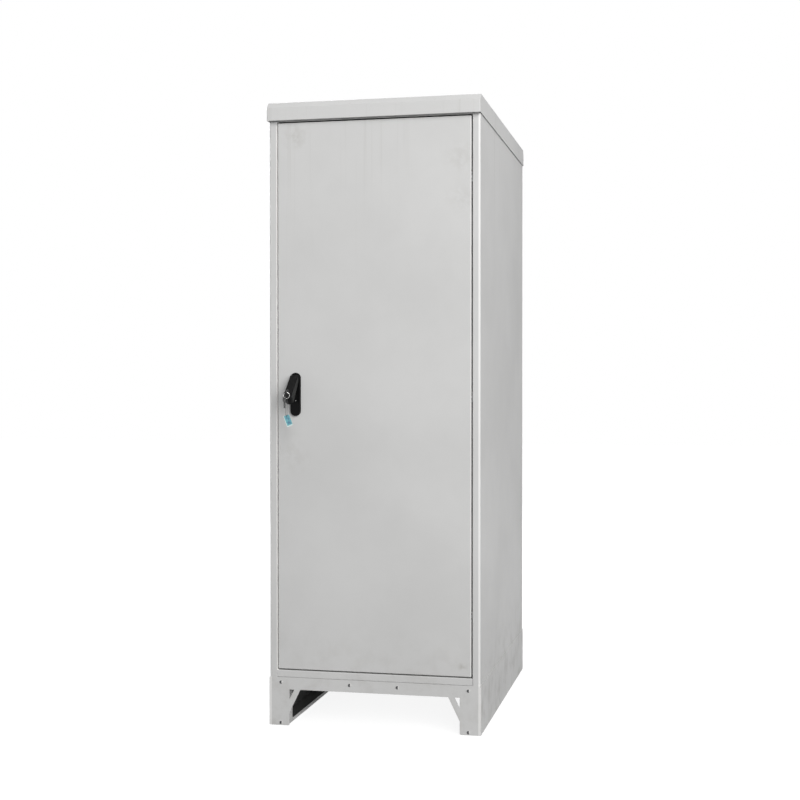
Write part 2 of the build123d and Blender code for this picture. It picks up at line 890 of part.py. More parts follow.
# Concealed hinges: a bracket on the frame's lip, a leaf on the door, and a pin
hinge_foot_end = hinge_foot_x + hinge_screw_head
leaf_half = hinge_arm_height / 2 + hinge_side_gap + hinge_leaf_knuckle
seat_y = front_y + seal_depth

with BuildPart() as hinge_brackets:
    for height in hinge_heights:
        with BuildSketch(Plane.XY.offset(height - hinge_arm_height / 2)):
            with Locations((pivot_x, (pivot_y + seat_y) / 2)):
                Rectangle(hinge_plate, seat_y - pivot_y)
            foot_start = pivot_x - hinge_plate / 2
            with Locations(((foot_start + hinge_foot_end) / 2, seat_y - hinge_plate / 2)):
                Rectangle(hinge_foot_end - foot_start, hinge_plate)
            with Locations((pivot_x, pivot_y)):
                Circle(knuckle_radius)
                Circle(hinge_pin_radius + running_clearance, mode=Mode.SUBTRACT)
        extrude(amount=hinge_arm_height)
    with BuildSketch(front(seal_depth)):
        with Locations(*hinge_screws_at):
            Circle(hinge_screw_radius + hole_clearance)
    extrude(amount=hinge_plate, mode=Mode.SUBTRACT)
save(hinge_brackets, "hinge_brackets")

with BuildPart() as hinge_screws:
    with BuildSketch(front(seal_depth - hinge_plate)):
        with Locations(*hinge_screws_at):
            Circle(hinge_screw_head)
    extrude(amount=hinge_screw_radius)
    with BuildSketch(front(seal_depth - hinge_plate)):
        with Locations(*hinge_screws_at):
            Circle(hinge_screw_radius)
    extrude(amount=-hinge_screw_length)
save(hinge_screws, "hinge_screws")

with BuildPart() as hinge_leaves:
    for height in hinge_heights:
        with BuildSketch(Plane.XY.offset(height - leaf_half)):
            with Locations((pivot_x - hinge_leaf_reach / 2, front_y + sheet + hinge_plate / 2)):
                Rectangle(hinge_leaf_reach, hinge_plate)
            with Locations((pivot_x, pivot_y)):
                Circle(knuckle_radius)
                Circle(hinge_pin_radius, mode=Mode.SUBTRACT)
        extrude(amount=2 * leaf_half)
        with BuildSketch(Plane.XY.offset(height - hinge_arm_height / 2 - hinge_side_gap)):
            with Locations((pivot_x, pivot_y)):
                Rectangle(
                    2 * (knuckle_radius + hinge_slot_gap),
                    2 * (knuckle_radius + hinge_plate + hinge_slot_gap),
                )
        extrude(amount=hinge_arm_height + 2 * hinge_side_gap, mode=Mode.SUBTRACT)
save(hinge_leaves, "hinge_leaves")

with BuildPart() as hinge_pins:
    for height in hinge_heights:
        with BuildSketch(Plane.XY.offset(height - leaf_half - hinge_side_gap)):
            with Locations((pivot_x, pivot_y)):
                Circle(hinge_pin_radius)
        extrude(amount=2 * leaf_half + hinge_side_gap)
        with BuildSketch(Plane.XY.offset(height + leaf_half)):
            with Locations((pivot_x, pivot_y)):
                Circle(knuckle_radius - hinge_side_gap)
        extrude(amount=hinge_plate / 2)
save(hinge_pins, "hinge_pins")

# Lock plate: a long rounded plate with a shallow field and the catch for the lever
lever_pivot_y = front_y - plate_thickness - lever_lift - lever_head_radius
field_behind = plate_recess - plate_thickness
cam_out = lever_lift + cam_depth

with BuildPart() as lock_plate:
    with BuildSketch(front(0)):
        with Locations((lock_x, plate_middle_z)):
            SlotOverall(plate_length, plate_width, rotation=90)
    extrude(amount=plate_thickness)
    fillet(lock_plate.faces().sort_by(Axis.Y)[0].edges(), plate_edge)
    with BuildSketch(front(-plate_thickness)):
        with Locations((lock_x, plate_middle_z)):
            SlotOverall(plate_length - 2 * plate_rim, plate_width - 2 * plate_rim, rotation=90)
    extrude(amount=-plate_recess, mode=Mode.SUBTRACT)
    with BuildSketch(front(field_behind)):
        with Locations((lock_x, lock_pivot_z - catch_reach)):
            RectangleRounded(catch_width, catch_length, catch_notch)
    extrude(amount=catch_height + plate_recess)
    with BuildSketch(section(lock_x - catch_width)):
        catch_low = lock_pivot_z - catch_reach - catch_length / 2
        with Locations((front_y - plate_thickness - cam_out, catch_low)):
            Rectangle(cam_thickness + 2 * cam_play, 2 * catch_notch)
    extrude(amount=2 * catch_width, mode=Mode.SUBTRACT)
    with BuildSketch(front(0)):
        with Locations((lock_x, lock_pivot_z)):
            Circle(spindle_radius + running_clearance)
    extrude(amount=plate_thickness, mode=Mode.SUBTRACT)
    with BuildSketch(front(0)):
        for height in plate_studs_z:
            with Locations((lock_x, height)):
                Circle(stud_radius)
    extrude(amount=-stud_length)
save(lock_plate, "lock_plate")

# Turning hub: disc and tongue outside, round spindle and square drive inside
hub_behind = field_behind - hub_gap
square_behind = rod_setback - 2 * case_gap
square_length = rod_setback + rod_thickness + case_gap - square_behind

with BuildPart() as turn_hub:
    with BuildSketch(front(hub_behind)):
        with Locations((lock_x, lock_pivot_z)):
            Circle(hub_radius)
    extrude(amount=hub_thickness)
    with BuildSketch(section(lock_x - tongue_width / 2)):
        with Locations((lever_pivot_y, lock_pivot_z)):
            Circle(tongue_radius)
        tongue_end = front_y + hub_behind - hub_thickness / 2
        with Locations(((tongue_end + lever_pivot_y) / 2, lock_pivot_z)):
            Rectangle(tongue_end - lever_pivot_y, 2 * tongue_radius)
        with Locations((lever_pivot_y, lock_pivot_z)):
            Circle(lever_pin_radius + running_clearance, mode=Mode.SUBTRACT)
    extrude(amount=tongue_width)
    with BuildSketch(front(hub_behind)):
        with Locations((lock_x, lock_pivot_z)):
            Circle(spindle_radius)
    extrude(amount=-(square_behind - hub_behind))
    with BuildSketch(front(square_behind)):
        with Locations((lock_x, lock_pivot_z)):
            Rectangle(spindle_square, spindle_square)
    extrude(amount=-square_length)
save(turn_hub, "turn_hub")

# Swing lever, modelled at its popped-out rest angle about its own pivot
open_angle = math.radians(lever_open_deg)
along = Vector(0, -math.sin(open_angle), -math.cos(open_angle))
outward = Vector(0, -math.cos(open_angle), math.sin(open_angle))
lever_pivot = Vector(lock_x, lever_pivot_y, lock_pivot_z)
underside = -lever_head_radius
tip_top = underside + lever_tip_thickness


def lever_side():
    """A plane through the lever's middle: local x runs to its tip, local y is out."""
    return Plane(origin=lever_pivot, x_dir=along, z_dir=(-1, 0, 0))


def lever_face(height):
    """A plane parallel to the lever's face: local x is X, local y runs to its head."""
    return Plane(origin=lever_pivot + outward * height, x_dir=(1, 0, 0), z_dir=outward)


with BuildPart() as lever:
    with BuildSketch(lever_side()):
        Circle(lever_head_radius)
        with BuildLine():
            Polyline(
                (0, underside),
                (lever_length, underside),
                (lever_length, tip_top - lever_nose),
                (lever_length - lever_nose, tip_top),
                (key_reach - barrel_radius, tip_top),
                (0, lever_head_radius),
                close=True,
            )
        make_face()
    extrude(amount=lever_width / 2, both=True)
    with BuildSketch(lever_face(underside)):
        with Locations((0, (lever_width / 2 - lever_length) / 2)):
            SlotOverall(lever_length + lever_width / 2, lever_width, rotation=90)
    extrude(amount=2 * lever_tip_thickness, mode=Mode.INTERSECT)
    outer_edges = lever.faces().sort_by(Axis(lever_pivot, outward))[-lever_outer_faces:].edges()
    chamfer(outer_edges, lever_edge)
    with BuildSketch(lever_face(underside)):
        hollow_start = tongue_radius + tongue_gap
        hollow_end = catch_reach + catch_length / 2 + 2 * tongue_gap
        with Locations((0, -(hollow_start + hollow_end) / 2)):
            Rectangle(lever_width - 2 * lever_wall, hollow_end - hollow_start)
    extrude(amount=lever_hollow, mode=Mode.SUBTRACT)
    with BuildSketch(lever_side()):
        Circle(tongue_radius + tongue_gap)
        with Locations((hollow_start, tongue_slot_rise)):
            Rectangle(
                hollow_start + 2 * lever_head_radius,
                tongue_slot_rise + 2 * lever_head_radius,
                align=(Align.MAX, Align.MAX),
            )
    extrude(amount=tongue_width / 2 + tongue_gap, both=True, mode=Mode.SUBTRACT)
    with BuildSketch(lever_side()):
        Circle(lever_pin_radius)
    extrude(amount=lever_width / 2, both=True, mode=Mode.SUBTRACT)
    with BuildSketch(lever_face(underside)):
        with Locations((0, -key_reach)):
            Circle(cam_pocket_radius)
    extrude(amount=cam_pocket_depth, mode=Mode.SUBTRACT)
    with BuildSketch(lever_face(underside)):
        with Locations((0, -key_reach)):
            Circle(barrel_radius)
    extrude(amount=2 * lever_tip_thickness, mode=Mode.SUBTRACT)
save(lever, "lever")

with BuildPart() as lever_pin:
    with BuildSketch(lever_side()):
        Circle(lever_pin_radius)
    extrude(amount=lever_width / 2 - lever_edge, both=True)
save(lever_pin, "lever_pin")

# Lock cylinder in the lever: barrel, turning plug and cam
barrel_low = underside + cam_pocket_depth
barrel_high = tip_top + barrel_proud
plug_high = barrel_high + hub_gap
cam_low = underside + cam_depth - cam_thickness / 2

with BuildPart() as lock_barrel:
    with BuildSketch(lever_face(barrel_low)):
        with Locations((0, -key_reach)):
            Circle(barrel_radius)
            Circle(plug_radius + running_clearance, mode=Mode.SUBTRACT)
    extrude(amount=barrel_high - barrel_low)
save(lock_barrel, "lock_barrel")

with BuildPart() as lock_plug:
    with BuildSketch(lever_face(barrel_low)):
        with Locations((0, -key_reach)):
            Circle(plug_radius)
    extrude(amount=plug_high - barrel_low)
    with BuildSketch(lever_face(plug_high)):
        with Locations((0, -key_reach)):
            Rectangle(
                blade_width + 2 * blade_gap,
                blade_thickness + 2 * blade_gap,
                rotation=key_turn_rest_deg,
            )
    extrude(amount=-(blade_length + blade_gap), mode=Mode.SUBTRACT)
    with BuildSketch(lever_face(barrel_low)):
        with Locations((0, -key_reach)):
            Rectangle(cam_width, cam_width)
    extrude(amount=cam_low - barrel_low)
save(lock_plug, "lock_plug")

with BuildPart() as lock_cam:
    with BuildSketch(lever_face(cam_low)):
        with Locations((0, -key_reach)):
            Circle(cam_width)
            Rectangle(cam_width, cam_width, mode=Mode.SUBTRACT)
        with Locations(((cam_width / 2 + cam_length) / 2, -key_reach)):
            Rectangle(cam_length - cam_width / 2, cam_width)
    extrude(amount=cam_thickness)
save(lock_cam, "lock_cam")

# Keys. The eye lies on the bow's middle line, the blade points down local y.
eye_height = key_neck + key_bow_length - eye_inset
key_origin = lever_pivot + along * key_reach + outward * plug_high
key_angle = math.radians(key_turn_rest_deg)
across = Vector(1, 0, 0) * math.cos(key_angle) + outward.cross(Vector(1, 0, 0)) * math.sin(key_angle)
eye_axis = across.cross(outward)
key_plane = Plane(origin=key_origin, x_dir=across, z_dir=eye_axis)


def key_blank(plane):
    """A flat key with a plastic bow. Local y points from the blade to the bow."""
    with BuildPart() as blank:
        with BuildSketch(plane):
            with Locations((0, key_neck / 2)):
                Rectangle(key_neck_width, key_neck)
            with Locations((0, key_neck + key_bow_length / 2)):
                RectangleRounded(key_bow_width, key_bow_length, key_bow_corner)
            with Locations((0, eye_height)):
                Circle(key_eye_radius, mode=Mode.SUBTRACT)
        extrude(amount=key_thickness / 2, both=True)
        with BuildSketch(plane):
            with Locations((0, -blade_length / 2)):
                Rectangle(blade_width, blade_length)
        extrude(amount=blade_thickness / 2, both=True)
    return blank.part


with BuildPart() as key:
    add(key_blank(key_plane))
save(key, "key")

# The ring hangs in the key's eye, the spare key and the tag's loop hang on the ring
up = Vector(0, 0, 1)
ring_turn = math.radians(ring_turn_deg)
wire_run = Vector(math.cos(ring_turn), math.sin(ring_turn), 0)
ring_top = key_origin + outward * eye_height - up * eye_seat
ring_centre = ring_top - up * ring_radius
hang_angle = math.radians(spare_hang_deg)
spare_turn = math.radians(spare_turn_deg)
hung_across = Vector(math.cos(spare_turn), math.sin(spare_turn), 0)
hung_side = up.cross(hung_across)
hang_across = ring_radius * math.sin(hang_angle)
hang_down = ring_radius * math.cos(hang_angle)

with BuildPart(Plane(origin=ring_centre, x_dir=wire_run, z_dir=wire_run.cross(up))) as key_ring:
    Torus(ring_radius, wire_radius)
save(key_ring, "key_ring")

spare_hang = ring_centre - wire_run * hang_across - up * hang_down
spare_origin = spare_hang - up * (eye_seat + eye_height)
with BuildPart() as spare_key:
    add(key_blank(Plane(origin=spare_origin, x_dir=hung_side, z_dir=hung_across)))
save(spare_key, "spare_key")

loop_end = loop_width / 2
loop_top = ring_centre - up * (ring_radius - 2 * wire_radius - fit_gap)
loop_plane = Plane(origin=loop_top, x_dir=hung_side, z_dir=hung_across)
with BuildPart() as tag_loop:
    with BuildLine(loop_plane) as loop_path:
        Line((loop_end, -loop_end), (loop_end, loop_end - loop_length))
        ThreePointArc(
            (loop_end, loop_end - loop_length), (0, -loop_length), (-loop_end, loop_end - loop_length)
        )
        Line((-loop_end, loop_end - loop_length), (-loop_end, -loop_end))
        ThreePointArc((-loop_end, -loop_end), (0, 0), (loop_end, -loop_end))
    with BuildSketch(Plane(origin=loop_path.line @ 0, z_dir=loop_path.line % 0)):
        Circle(wire_radius)
    sweep()
save(tag_loop, "tag_loop")

lean = math.radians(tag_lean_deg)
tag_up = up * math.cos(lean) - hung_across * math.sin(lean)
tag_seat = tag_eye_radius - wire_radius - fit_gap
tag_hang = loop_top - up * (loop_length + tag_seat)
tag_plane = Plane(origin=tag_hang, x_dir=tag_up.cross(hung_side * -1), z_dir=hung_side * -1)
with BuildPart() as key_tag:
    with BuildSketch(tag_plane):
        with Locations((0, 2 * tag_eye_radius - tag_length / 2)):
            RectangleRounded(tag_width, tag_length, tag_corner)
        Circle(tag_eye_radius, mode=Mode.SUBTRACT)
    extrude(amount=tag_thickness / 2, both=True)
save(key_tag, "key_tag")

# Rack and pinion, and the two locking rods
gear_pitch = math.pi * gear_module
addendum = gear_addendum * gear_module
dedendum = gear_dedendum * gear_module
pressure = math.radians(pressure_deg)
base_radius = pitch_radius * math.cos(pressure)
tooth_half = gear_pitch / 4 - gear_backlash / 4


def flank_angle(radius):
    """Half the angle that a pinion tooth spans at a radius, from its involute."""
    slope = math.acos(min(1.0, base_radius / radius))
    involute = math.tan(slope) - slope
    at_pitch = math.tan(pressure) - pressure
    return tooth_half / pitch_radius + at_pitch - involute


def flank_point(radius, side):
    angle = side * flank_angle(max(radius, base_radius))
    return (radius * math.cos(angle), radius * math.sin(angle))


with BuildSketch() as pinion_tooth:
    flank_step = (pitch_radius + addendum - base_radius) / flank_points
    flank_radii = [base_radius + flank_step * i for i in range(flank_points + 1)]
    with BuildLine():
        lower = Spline(*[flank_point(r, -1) for r in flank_radii])
        upper = Spline(*[flank_point(r, 1) for r in flank_radii])
        Line(lower @ 1, upper @ 1)
        Line(lower @ 0, flank_point(pitch_radius - dedendum - gear_module, -1))
        Line(upper @ 0, flank_point(pitch_radius - dedendum - gear_module, 1))
        Line(
            flank_point(pitch_radius - dedendum - gear_module, -1),
            flank_point(pitch_radius - dedendum - gear_module, 1),
        )
    make_face()

with BuildPart() as drive_pinion:
    with BuildSketch(front(rod_setback)):
        with Locations((lock_x, lock_pivot_z)):
            Circle(pitch_radius - dedendum)
            with PolarLocations(0, gear_teeth):
                add(pinion_tooth.sketch_local)
            Rectangle(spindle_square, spindle_square, mode=Mode.SUBTRACT)
    extrude(amount=-rod_thickness)
save(drive_pinion, "drive_pinion")


def rod_middle(side):
    """The X of a rod's middle line, on the left (-1) or right (1) of the pinion."""
    return lock_x + side * (pitch_radius + dedendum + rod_width / 2)


def rack_rod(side, end):
    """A flat locking rod to the height end, with its rack beside the pinion."""
    heading = 1 if end > lock_pivot_z else -1
    tail = lock_pivot_z - heading * (rack_teeth_below * gear_pitch + rack_tail)
    pitch_line = lock_x + side * pitch_radius
    with BuildPart() as bar:
        with BuildSketch(front(rod_setback)):
            with Locations((rod_middle(side), (tail + end) / 2)):
                Rectangle(rod_width, abs(end - tail))
            for i in range(-rack_teeth_below, rack_teeth_above):
                height = lock_pivot_z + heading * (i + 0.5) * gear_pitch
                foot = tooth_half + (dedendum + gear_backlash) * math.tan(pressure)
                crest = tooth_half - addendum * math.tan(pressure)
                foot_x = pitch_line + side * (dedendum + gear_backlash)
                crest_x = pitch_line - side * addendum
                with BuildLine():
                    Polyline(
                        (foot_x, height - foot),
                        (crest_x, height - crest),
                        (crest_x, height + crest),
                        (foot_x, height + foot),
                        close=True,
                    )
                make_face()
        extrude(amount=-rod_thickness)
    return bar.part


def rod_tip(side, end, tip_end):
    """The plastic shoe on a rod's end, ramped where it slides behind the frame's lip."""
    heading = 1 if end > lock_pivot_z else -1
    lead = front_y + rod_setback - tip_wall
    trail = front_y + rod_setback + rod_thickness + tip_wall
    with BuildPart() as shoe:
        with BuildSketch(section(rod_middle(side) - rod_width / 2 - tip_wall)):
            with BuildLine():
                Polyline(
                    (lead, tip_end - heading * tip_height),
                    (lead, tip_end - heading * tip_ramp),
                    (lead + tip_wall, tip_end),
                    (trail, tip_end),
                    (trail, tip_end - heading * tip_height),
                    close=True,
                )
            make_face()
        extrude(amount=rod_width + 2 * tip_wall)
        with BuildSketch(front(rod_setback)):
            with Locations((rod_middle(side), end - heading * tip_height)):
                Rectangle(rod_width, 2 * tip_height)
        extrude(amount=-rod_thickness, mode=Mode.SUBTRACT)
    return shoe.part


upper_tip = opening_top - lip_width - rod_shortfall
lower_tip = opening_bottom + lip_width + rod_shortfall

with BuildPart() as rod_upper:
    add(rack_rod(-1, upper_tip - tip_wall))
save(rod_upper, "rod_upper")

with BuildPart() as rod_tip_upper:
    add(rod_tip(-1, upper_tip - tip_wall, upper_tip))
save(rod_tip_upper, "rod_tip_upper")

with BuildPart() as rod_lower:
    add(rack_rod(1, lower_tip + tip_wall))
save(rod_lower, "rod_lower")

with BuildPart() as rod_tip_lower:
    add(rod_tip(1, lower_tip + tip_wall, lower_tip))
save(rod_tip_lower, "rod_tip_lower")

# Guides that carry the rods on the door
guide_top = rod_setback + rod_thickness + guide_wall
guide_run_up = (upper_tip - guide_end_distance - lock_pivot_z) / 2
guide_run_down = (lock_pivot_z - lower_tip - guide_end_distance) / 2
guides = [
    (-1, lock_pivot_z + guide_run_up),
    (-1, lock_pivot_z + 2 * guide_run_up),
    (1, lock_pivot_z - guide_run_down),
    (1, lock_pivot_z - 2 * guide_run_down),
]

with BuildPart() as rod_guides:
    for side, height in guides:
        middle = rod_middle(side)
        head = rod_width / 2 + guide_wall
        with BuildSketch(Plane.XY.offset(height - guide_height / 2)):
            with BuildLine():
                Polyline(
                    (middle - head - guide_wall, front_y + sheet),
                    (middle - head, front_y + guide_top - 2 * guide_wall),
                    (middle - head, front_y + guide_top),
                    (middle + head, front_y + guide_top),
                    (middle + head, front_y + guide_top - 2 * guide_wall),
                    (middle + head + guide_wall, front_y + sheet),
                    close=True,
                )
            make_face()
            with Locations((middle, front_y + rod_setback + rod_thickness / 2)):
                Rectangle(
                    rod_width + 2 * fit_gap, rod_thickness + 2 * fit_gap, mode=Mode.SUBTRACT
                )
        extrude(amount=guide_height)
save(rod_guides, "rod_guides")

# Lock case: a cast pedestal with ears, a channel for the racks, and its cover
rack_outer = pitch_radius + dedendum + rod_width
channel_inner = rack_outer + case_gap
case_half = channel_inner + case_channel
channel_behind = rod_setback - case_gap
cover_behind = rod_setback + rod_thickness + case_gap
case_screw_x = (channel_inner + case_half) / 2
case_screw_z = case_length / 2 - case_screw_inset


def case_screws_at(radius):
    """A sketch of one circle at each screw of the lock case's cover."""
    with BuildSketch() as circles:
        with Locations((lock_x, lock_pivot_z)):
            with GridLocations(2 * case_screw_x, 2 * case_screw_z, 2, 2):
                Circle(radius)
    return circles.sketch_local


with BuildPart() as lock_case:
    with BuildSketch(front(sheet)):
        with Locations((lock_x, lock_pivot_z)):
            Rectangle(2 * case_half, case_length)
    extrude(amount=-(channel_behind - sheet))
    with BuildSketch(front(sheet)):
        with Locations((lock_x, lock_pivot_z)):
            Rectangle(2 * (case_half - case_wall), case_length - 2 * case_wall)
    extrude(amount=-(channel_behind - sheet - case_wall), mode=Mode.SUBTRACT)
    with BuildSketch(front(channel_behind)):
        with Locations((lock_x, lock_pivot_z)):
            with GridLocations(2 * case_screw_x, 0, 2, 1):
                Rectangle(case_channel, case_length)
    extrude(amount=-(cover_behind - channel_behind))
    with BuildSketch(front(sheet)):
        with Locations((lock_x, lock_pivot_z)):
            SlotOverall(2 * (case_ear_reach + case_ear_radius), 2 * case_ear_radius, rotation=90)
            Rectangle(2 * (case_half - case_wall), case_length, mode=Mode.SUBTRACT)
            with GridLocations(0, 2 * case_ear_reach, 1, 2):
                Circle(stud_radius + hole_clearance, mode=Mode.SUBTRACT)
    extrude(amount=-case_wall)
    with BuildSketch(front(channel_behind)):
        with Locations((lock_x, lock_pivot_z)):
            Circle(spindle_radius + running_clearance)
    extrude(amount=case_wall, mode=Mode.SUBTRACT)
    with BuildSketch(front(cover_behind)):
        add(case_screws_at(case_screw_radius))
    extrude(amount=case_screw_depth, mode=Mode.SUBTRACT)
save(lock_case, "lock_case")

with BuildPart() as lock_cover:
    with BuildSketch(front(cover_behind)):
        with Locations((lock_x, lock_pivot_z)):
            Rectangle(2 * case_half, case_length)
        add(case_screws_at(case_screw_radius + hole_clearance), mode=Mode.SUBTRACT)
    extrude(amount=-case_cover)
save(lock_cover, "lock_cover")

with BuildPart() as lock_cover_screws:
    with BuildSketch(front(cover_behind + case_cover)):
        add(case_screws_at(case_screw_head))
    extrude(amount=-case_cover)
    with BuildSketch(front(cover_behind + case_cover)):
        add(case_screws_at(case_screw_radius))
    extrude(amount=case_cover + case_screw_depth)
save(lock_cover_screws, "lock_cover_screws")

with BuildPart() as lock_nuts:
    with BuildSketch(front(sheet)):
        for height in plate_studs_z:
            with Locations((lock_x, height)):
                RegularPolygon(stud_nut_across / 2, hexagon, major_radius=False)
                Circle(stud_radius, mode=Mode.SUBTRACT)
    extrude(amount=-stud_nut_height)
    with BuildSketch(front(sheet + case_wall)):
        for height in case_studs_z:
            with Locations((lock_x, height)):
                RegularPolygon(stud_nut_across / 2, hexagon, major_radius=False)
                Circle(stud_radius, mode=Mode.SUBTRACT)
    extrude(amount=-stud_nut_height)
save(lock_nuts, "lock_nuts")
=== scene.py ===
# %% [markdown]
# # A roadside utility cabinet
# The cabinet is a tall box of powder-coated sheet on a footed plinth. Its shape comes
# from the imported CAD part, which is loaded here as a fixed frame. Blender adds what a
# drawing can't: the coat's grain and dust, the black casting of the lock, the moulded
# keys, screws with sockets, and the light of the photograph.

# %% Load the frame
import json
import math

import bmesh
import bpy
from mathutils import Matrix, Vector


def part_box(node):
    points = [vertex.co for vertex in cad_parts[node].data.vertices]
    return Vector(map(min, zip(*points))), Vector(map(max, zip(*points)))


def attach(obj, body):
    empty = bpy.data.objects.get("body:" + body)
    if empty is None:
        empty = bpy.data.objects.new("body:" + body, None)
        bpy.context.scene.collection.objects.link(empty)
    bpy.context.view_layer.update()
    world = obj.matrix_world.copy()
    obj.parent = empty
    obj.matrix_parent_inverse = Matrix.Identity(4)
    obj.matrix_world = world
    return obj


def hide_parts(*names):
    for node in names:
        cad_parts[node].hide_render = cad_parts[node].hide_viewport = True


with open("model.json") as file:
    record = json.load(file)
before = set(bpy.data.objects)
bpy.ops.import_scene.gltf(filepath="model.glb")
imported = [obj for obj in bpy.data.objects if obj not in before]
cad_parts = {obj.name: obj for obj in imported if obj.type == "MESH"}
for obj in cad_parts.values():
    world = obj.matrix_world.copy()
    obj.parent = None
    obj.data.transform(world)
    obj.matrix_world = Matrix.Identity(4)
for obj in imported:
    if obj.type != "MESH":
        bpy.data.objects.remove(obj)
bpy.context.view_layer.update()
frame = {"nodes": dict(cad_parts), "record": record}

nodes = frame["nodes"]
record = frame["record"]

# %% [markdown]
# ## The camera
# The photograph was taken from the front and a little to the right, at chest height.
# The camera's place and lens were fitted to the cabinet's corners. The fit took the
# cabinet's width and depth as given, 700 mm and 1000 mm, and found the optical centre
# that agrees with them. So the picture's likeness is no measure of the depth.

# %% Set up the camera
camera_place = Vector((1.0251, -4.5315, 1.1106))
camera_yaw = math.radians(11.670)
camera_pitch = math.radians(-0.593)
sensor_width = 36.0
focal_pixels = 1288.52
picture_width = 800
centre_pixel = 431.63

camera_data = bpy.data.cameras.new("photo_camera")
camera_data.sensor_width = sensor_width
camera_data.lens = focal_pixels / picture_width * sensor_width
camera_data.shift_x = (picture_width / 2 - centre_pixel) / picture_width
camera_data.clip_end = 60.0
camera = bpy.data.objects.new("photo_camera", camera_data)
camera.location = camera_place
camera.rotation_euler = (math.pi / 2 + camera_pitch, 0.0, camera_yaw)
bpy.context.scene.collection.objects.link(camera)
bpy.context.scene.camera = camera
print("lens", round(camera_data.lens, 2), "mm")

# %% [markdown]
# ## Shader maths as Python
# A finish is a graph of nodes. Written by hand it is hard to read, so a small class
# wraps a socket and turns `+`, `-` and `*` into Math nodes. A second class holds the
# material and adds any other node from its type, its settings and its inputs.


# %% Wrap a socket so that it can be used in an expression
class Value:
    """A number that changes over a surface: one output socket of a node."""

    def __init__(self, finish, socket):
        self.finish = finish
        self.socket = socket

    def maths(self, operation, first, second):
        return self.finish.node("Math", {"operation": operation}, {0: first, 1: second})

    def __add__(self, other):
        return self.maths("ADD", self, other)

    def __radd__(self, other):
        return self.maths("ADD", other, self)

    def __sub__(self, other):
        return self.maths("SUBTRACT", self, other)

    def __rsub__(self, other):
        return self.maths("SUBTRACT", other, self)

    def __mul__(self, other):
        return self.maths("MULTIPLY", self, other)

    def __rmul__(self, other):
        return self.maths("MULTIPLY", other, self)

    def most(self, other):
        return self.maths("MAXIMUM", self, other)

    def size(self):
        return self.maths("ABSOLUTE", self, 0.0)


# %% Hold a material and add nodes to it
class Finish:
    """A material under construction, with one Principled shader."""

    def __init__(self, name):
        self.material = bpy.data.materials.new(name)
        self.material.use_nodes = True
        self.tree = self.material.node_tree
        self.shader = self.tree.nodes["Principled BSDF"]
        self.place = self.node("TexCoord", {}, {}, "Object")

    def set(self, target, value):
        if isinstance(value, Value):
            self.tree.links.new(value.socket, target)
        elif isinstance(value, tuple) and len(value) == 3 and len(target.default_value) == 4:
            target.default_value = (*value, 1.0)
        else:
            target.default_value = value

    def node(self, kind, settings, inputs, output=0):
        made = self.tree.nodes.new("ShaderNode" + kind)
        for setting, value in settings.items():
            setattr(made, setting, value)
        for socket, value in inputs.items():
            self.set(made.inputs[socket], value)
        return Value(self, made.outputs[output])

    def stretched(self, across, deep, tall):
        """The place on the object, counted faster or slower along each axis."""
        inputs = {0: self.place, 1: (across, deep, tall)}
        return self.node("VectorMath", {"operation": "MULTIPLY"}, inputs)

    def noise(self, scale, detail=3.0, roughness=0.5, place=None):
        inputs = {"Vector": place or self.place, "Scale": scale}
        inputs.update({"Detail": detail, "Roughness": roughness})
        return self.node("TexNoise", {}, inputs, "Fac")

    def ramp(self, value, low, high):
        """A smooth step from 0 at low to 1 at high."""
        inputs = {"Value": value, "From Min": low, "From Max": high}
        return self.node("MapRange", {"interpolation_type": "SMOOTHSTEP"}, inputs)

    def mix(self, mask, first, second):
        """The first colour where the mask is 0, the second where it is 1."""
        return self.node("Mix", {"data_type": "RGBA"}, {0: mask, 6: first, 7: second}, 2)

    def along(self, axis):
        return self.node("SeparateXYZ", {}, {0: self.place}, axis)

    def facing(self, axis):
        normal = self.node("NewGeometry", {}, {}, "Normal")
        return self.node("SeparateXYZ", {}, {0: normal}, axis)

    def spot(self, centre, radius, softness=1.0):
        """1 at a place on the object, falling to 0 at the radius."""
        inputs = {0: self.place, 1: centre}
        reach = self.node("VectorMath", {"operation": "DISTANCE"}, inputs, "Value")
        return self.ramp(reach, radius, radius * (1.0 - softness))

    def reach(self, centre, direction):
        """How far a place lies from the centre, measured along a direction."""
        offset = self.node("VectorMath", {"operation": "SUBTRACT"}, {0: self.place, 1: centre})
        inputs = {0: offset, 1: direction}
        return self.node("VectorMath", {"operation": "DOT_PRODUCT"}, inputs, "Value")

    def bump(self, height, strength, distance):
        inputs = {"Height": height, "Strength": strength, "Distance": distance}
        return self.node("Bump", {}, inputs)

    def finish(self, **sockets):
        for name, value in sockets.items():
            label = name.replace("_", " ").title().replace("Ior", "IOR")
            self.set(self.shader.inputs[label], value)
        return self.material


print("finish helper ready")
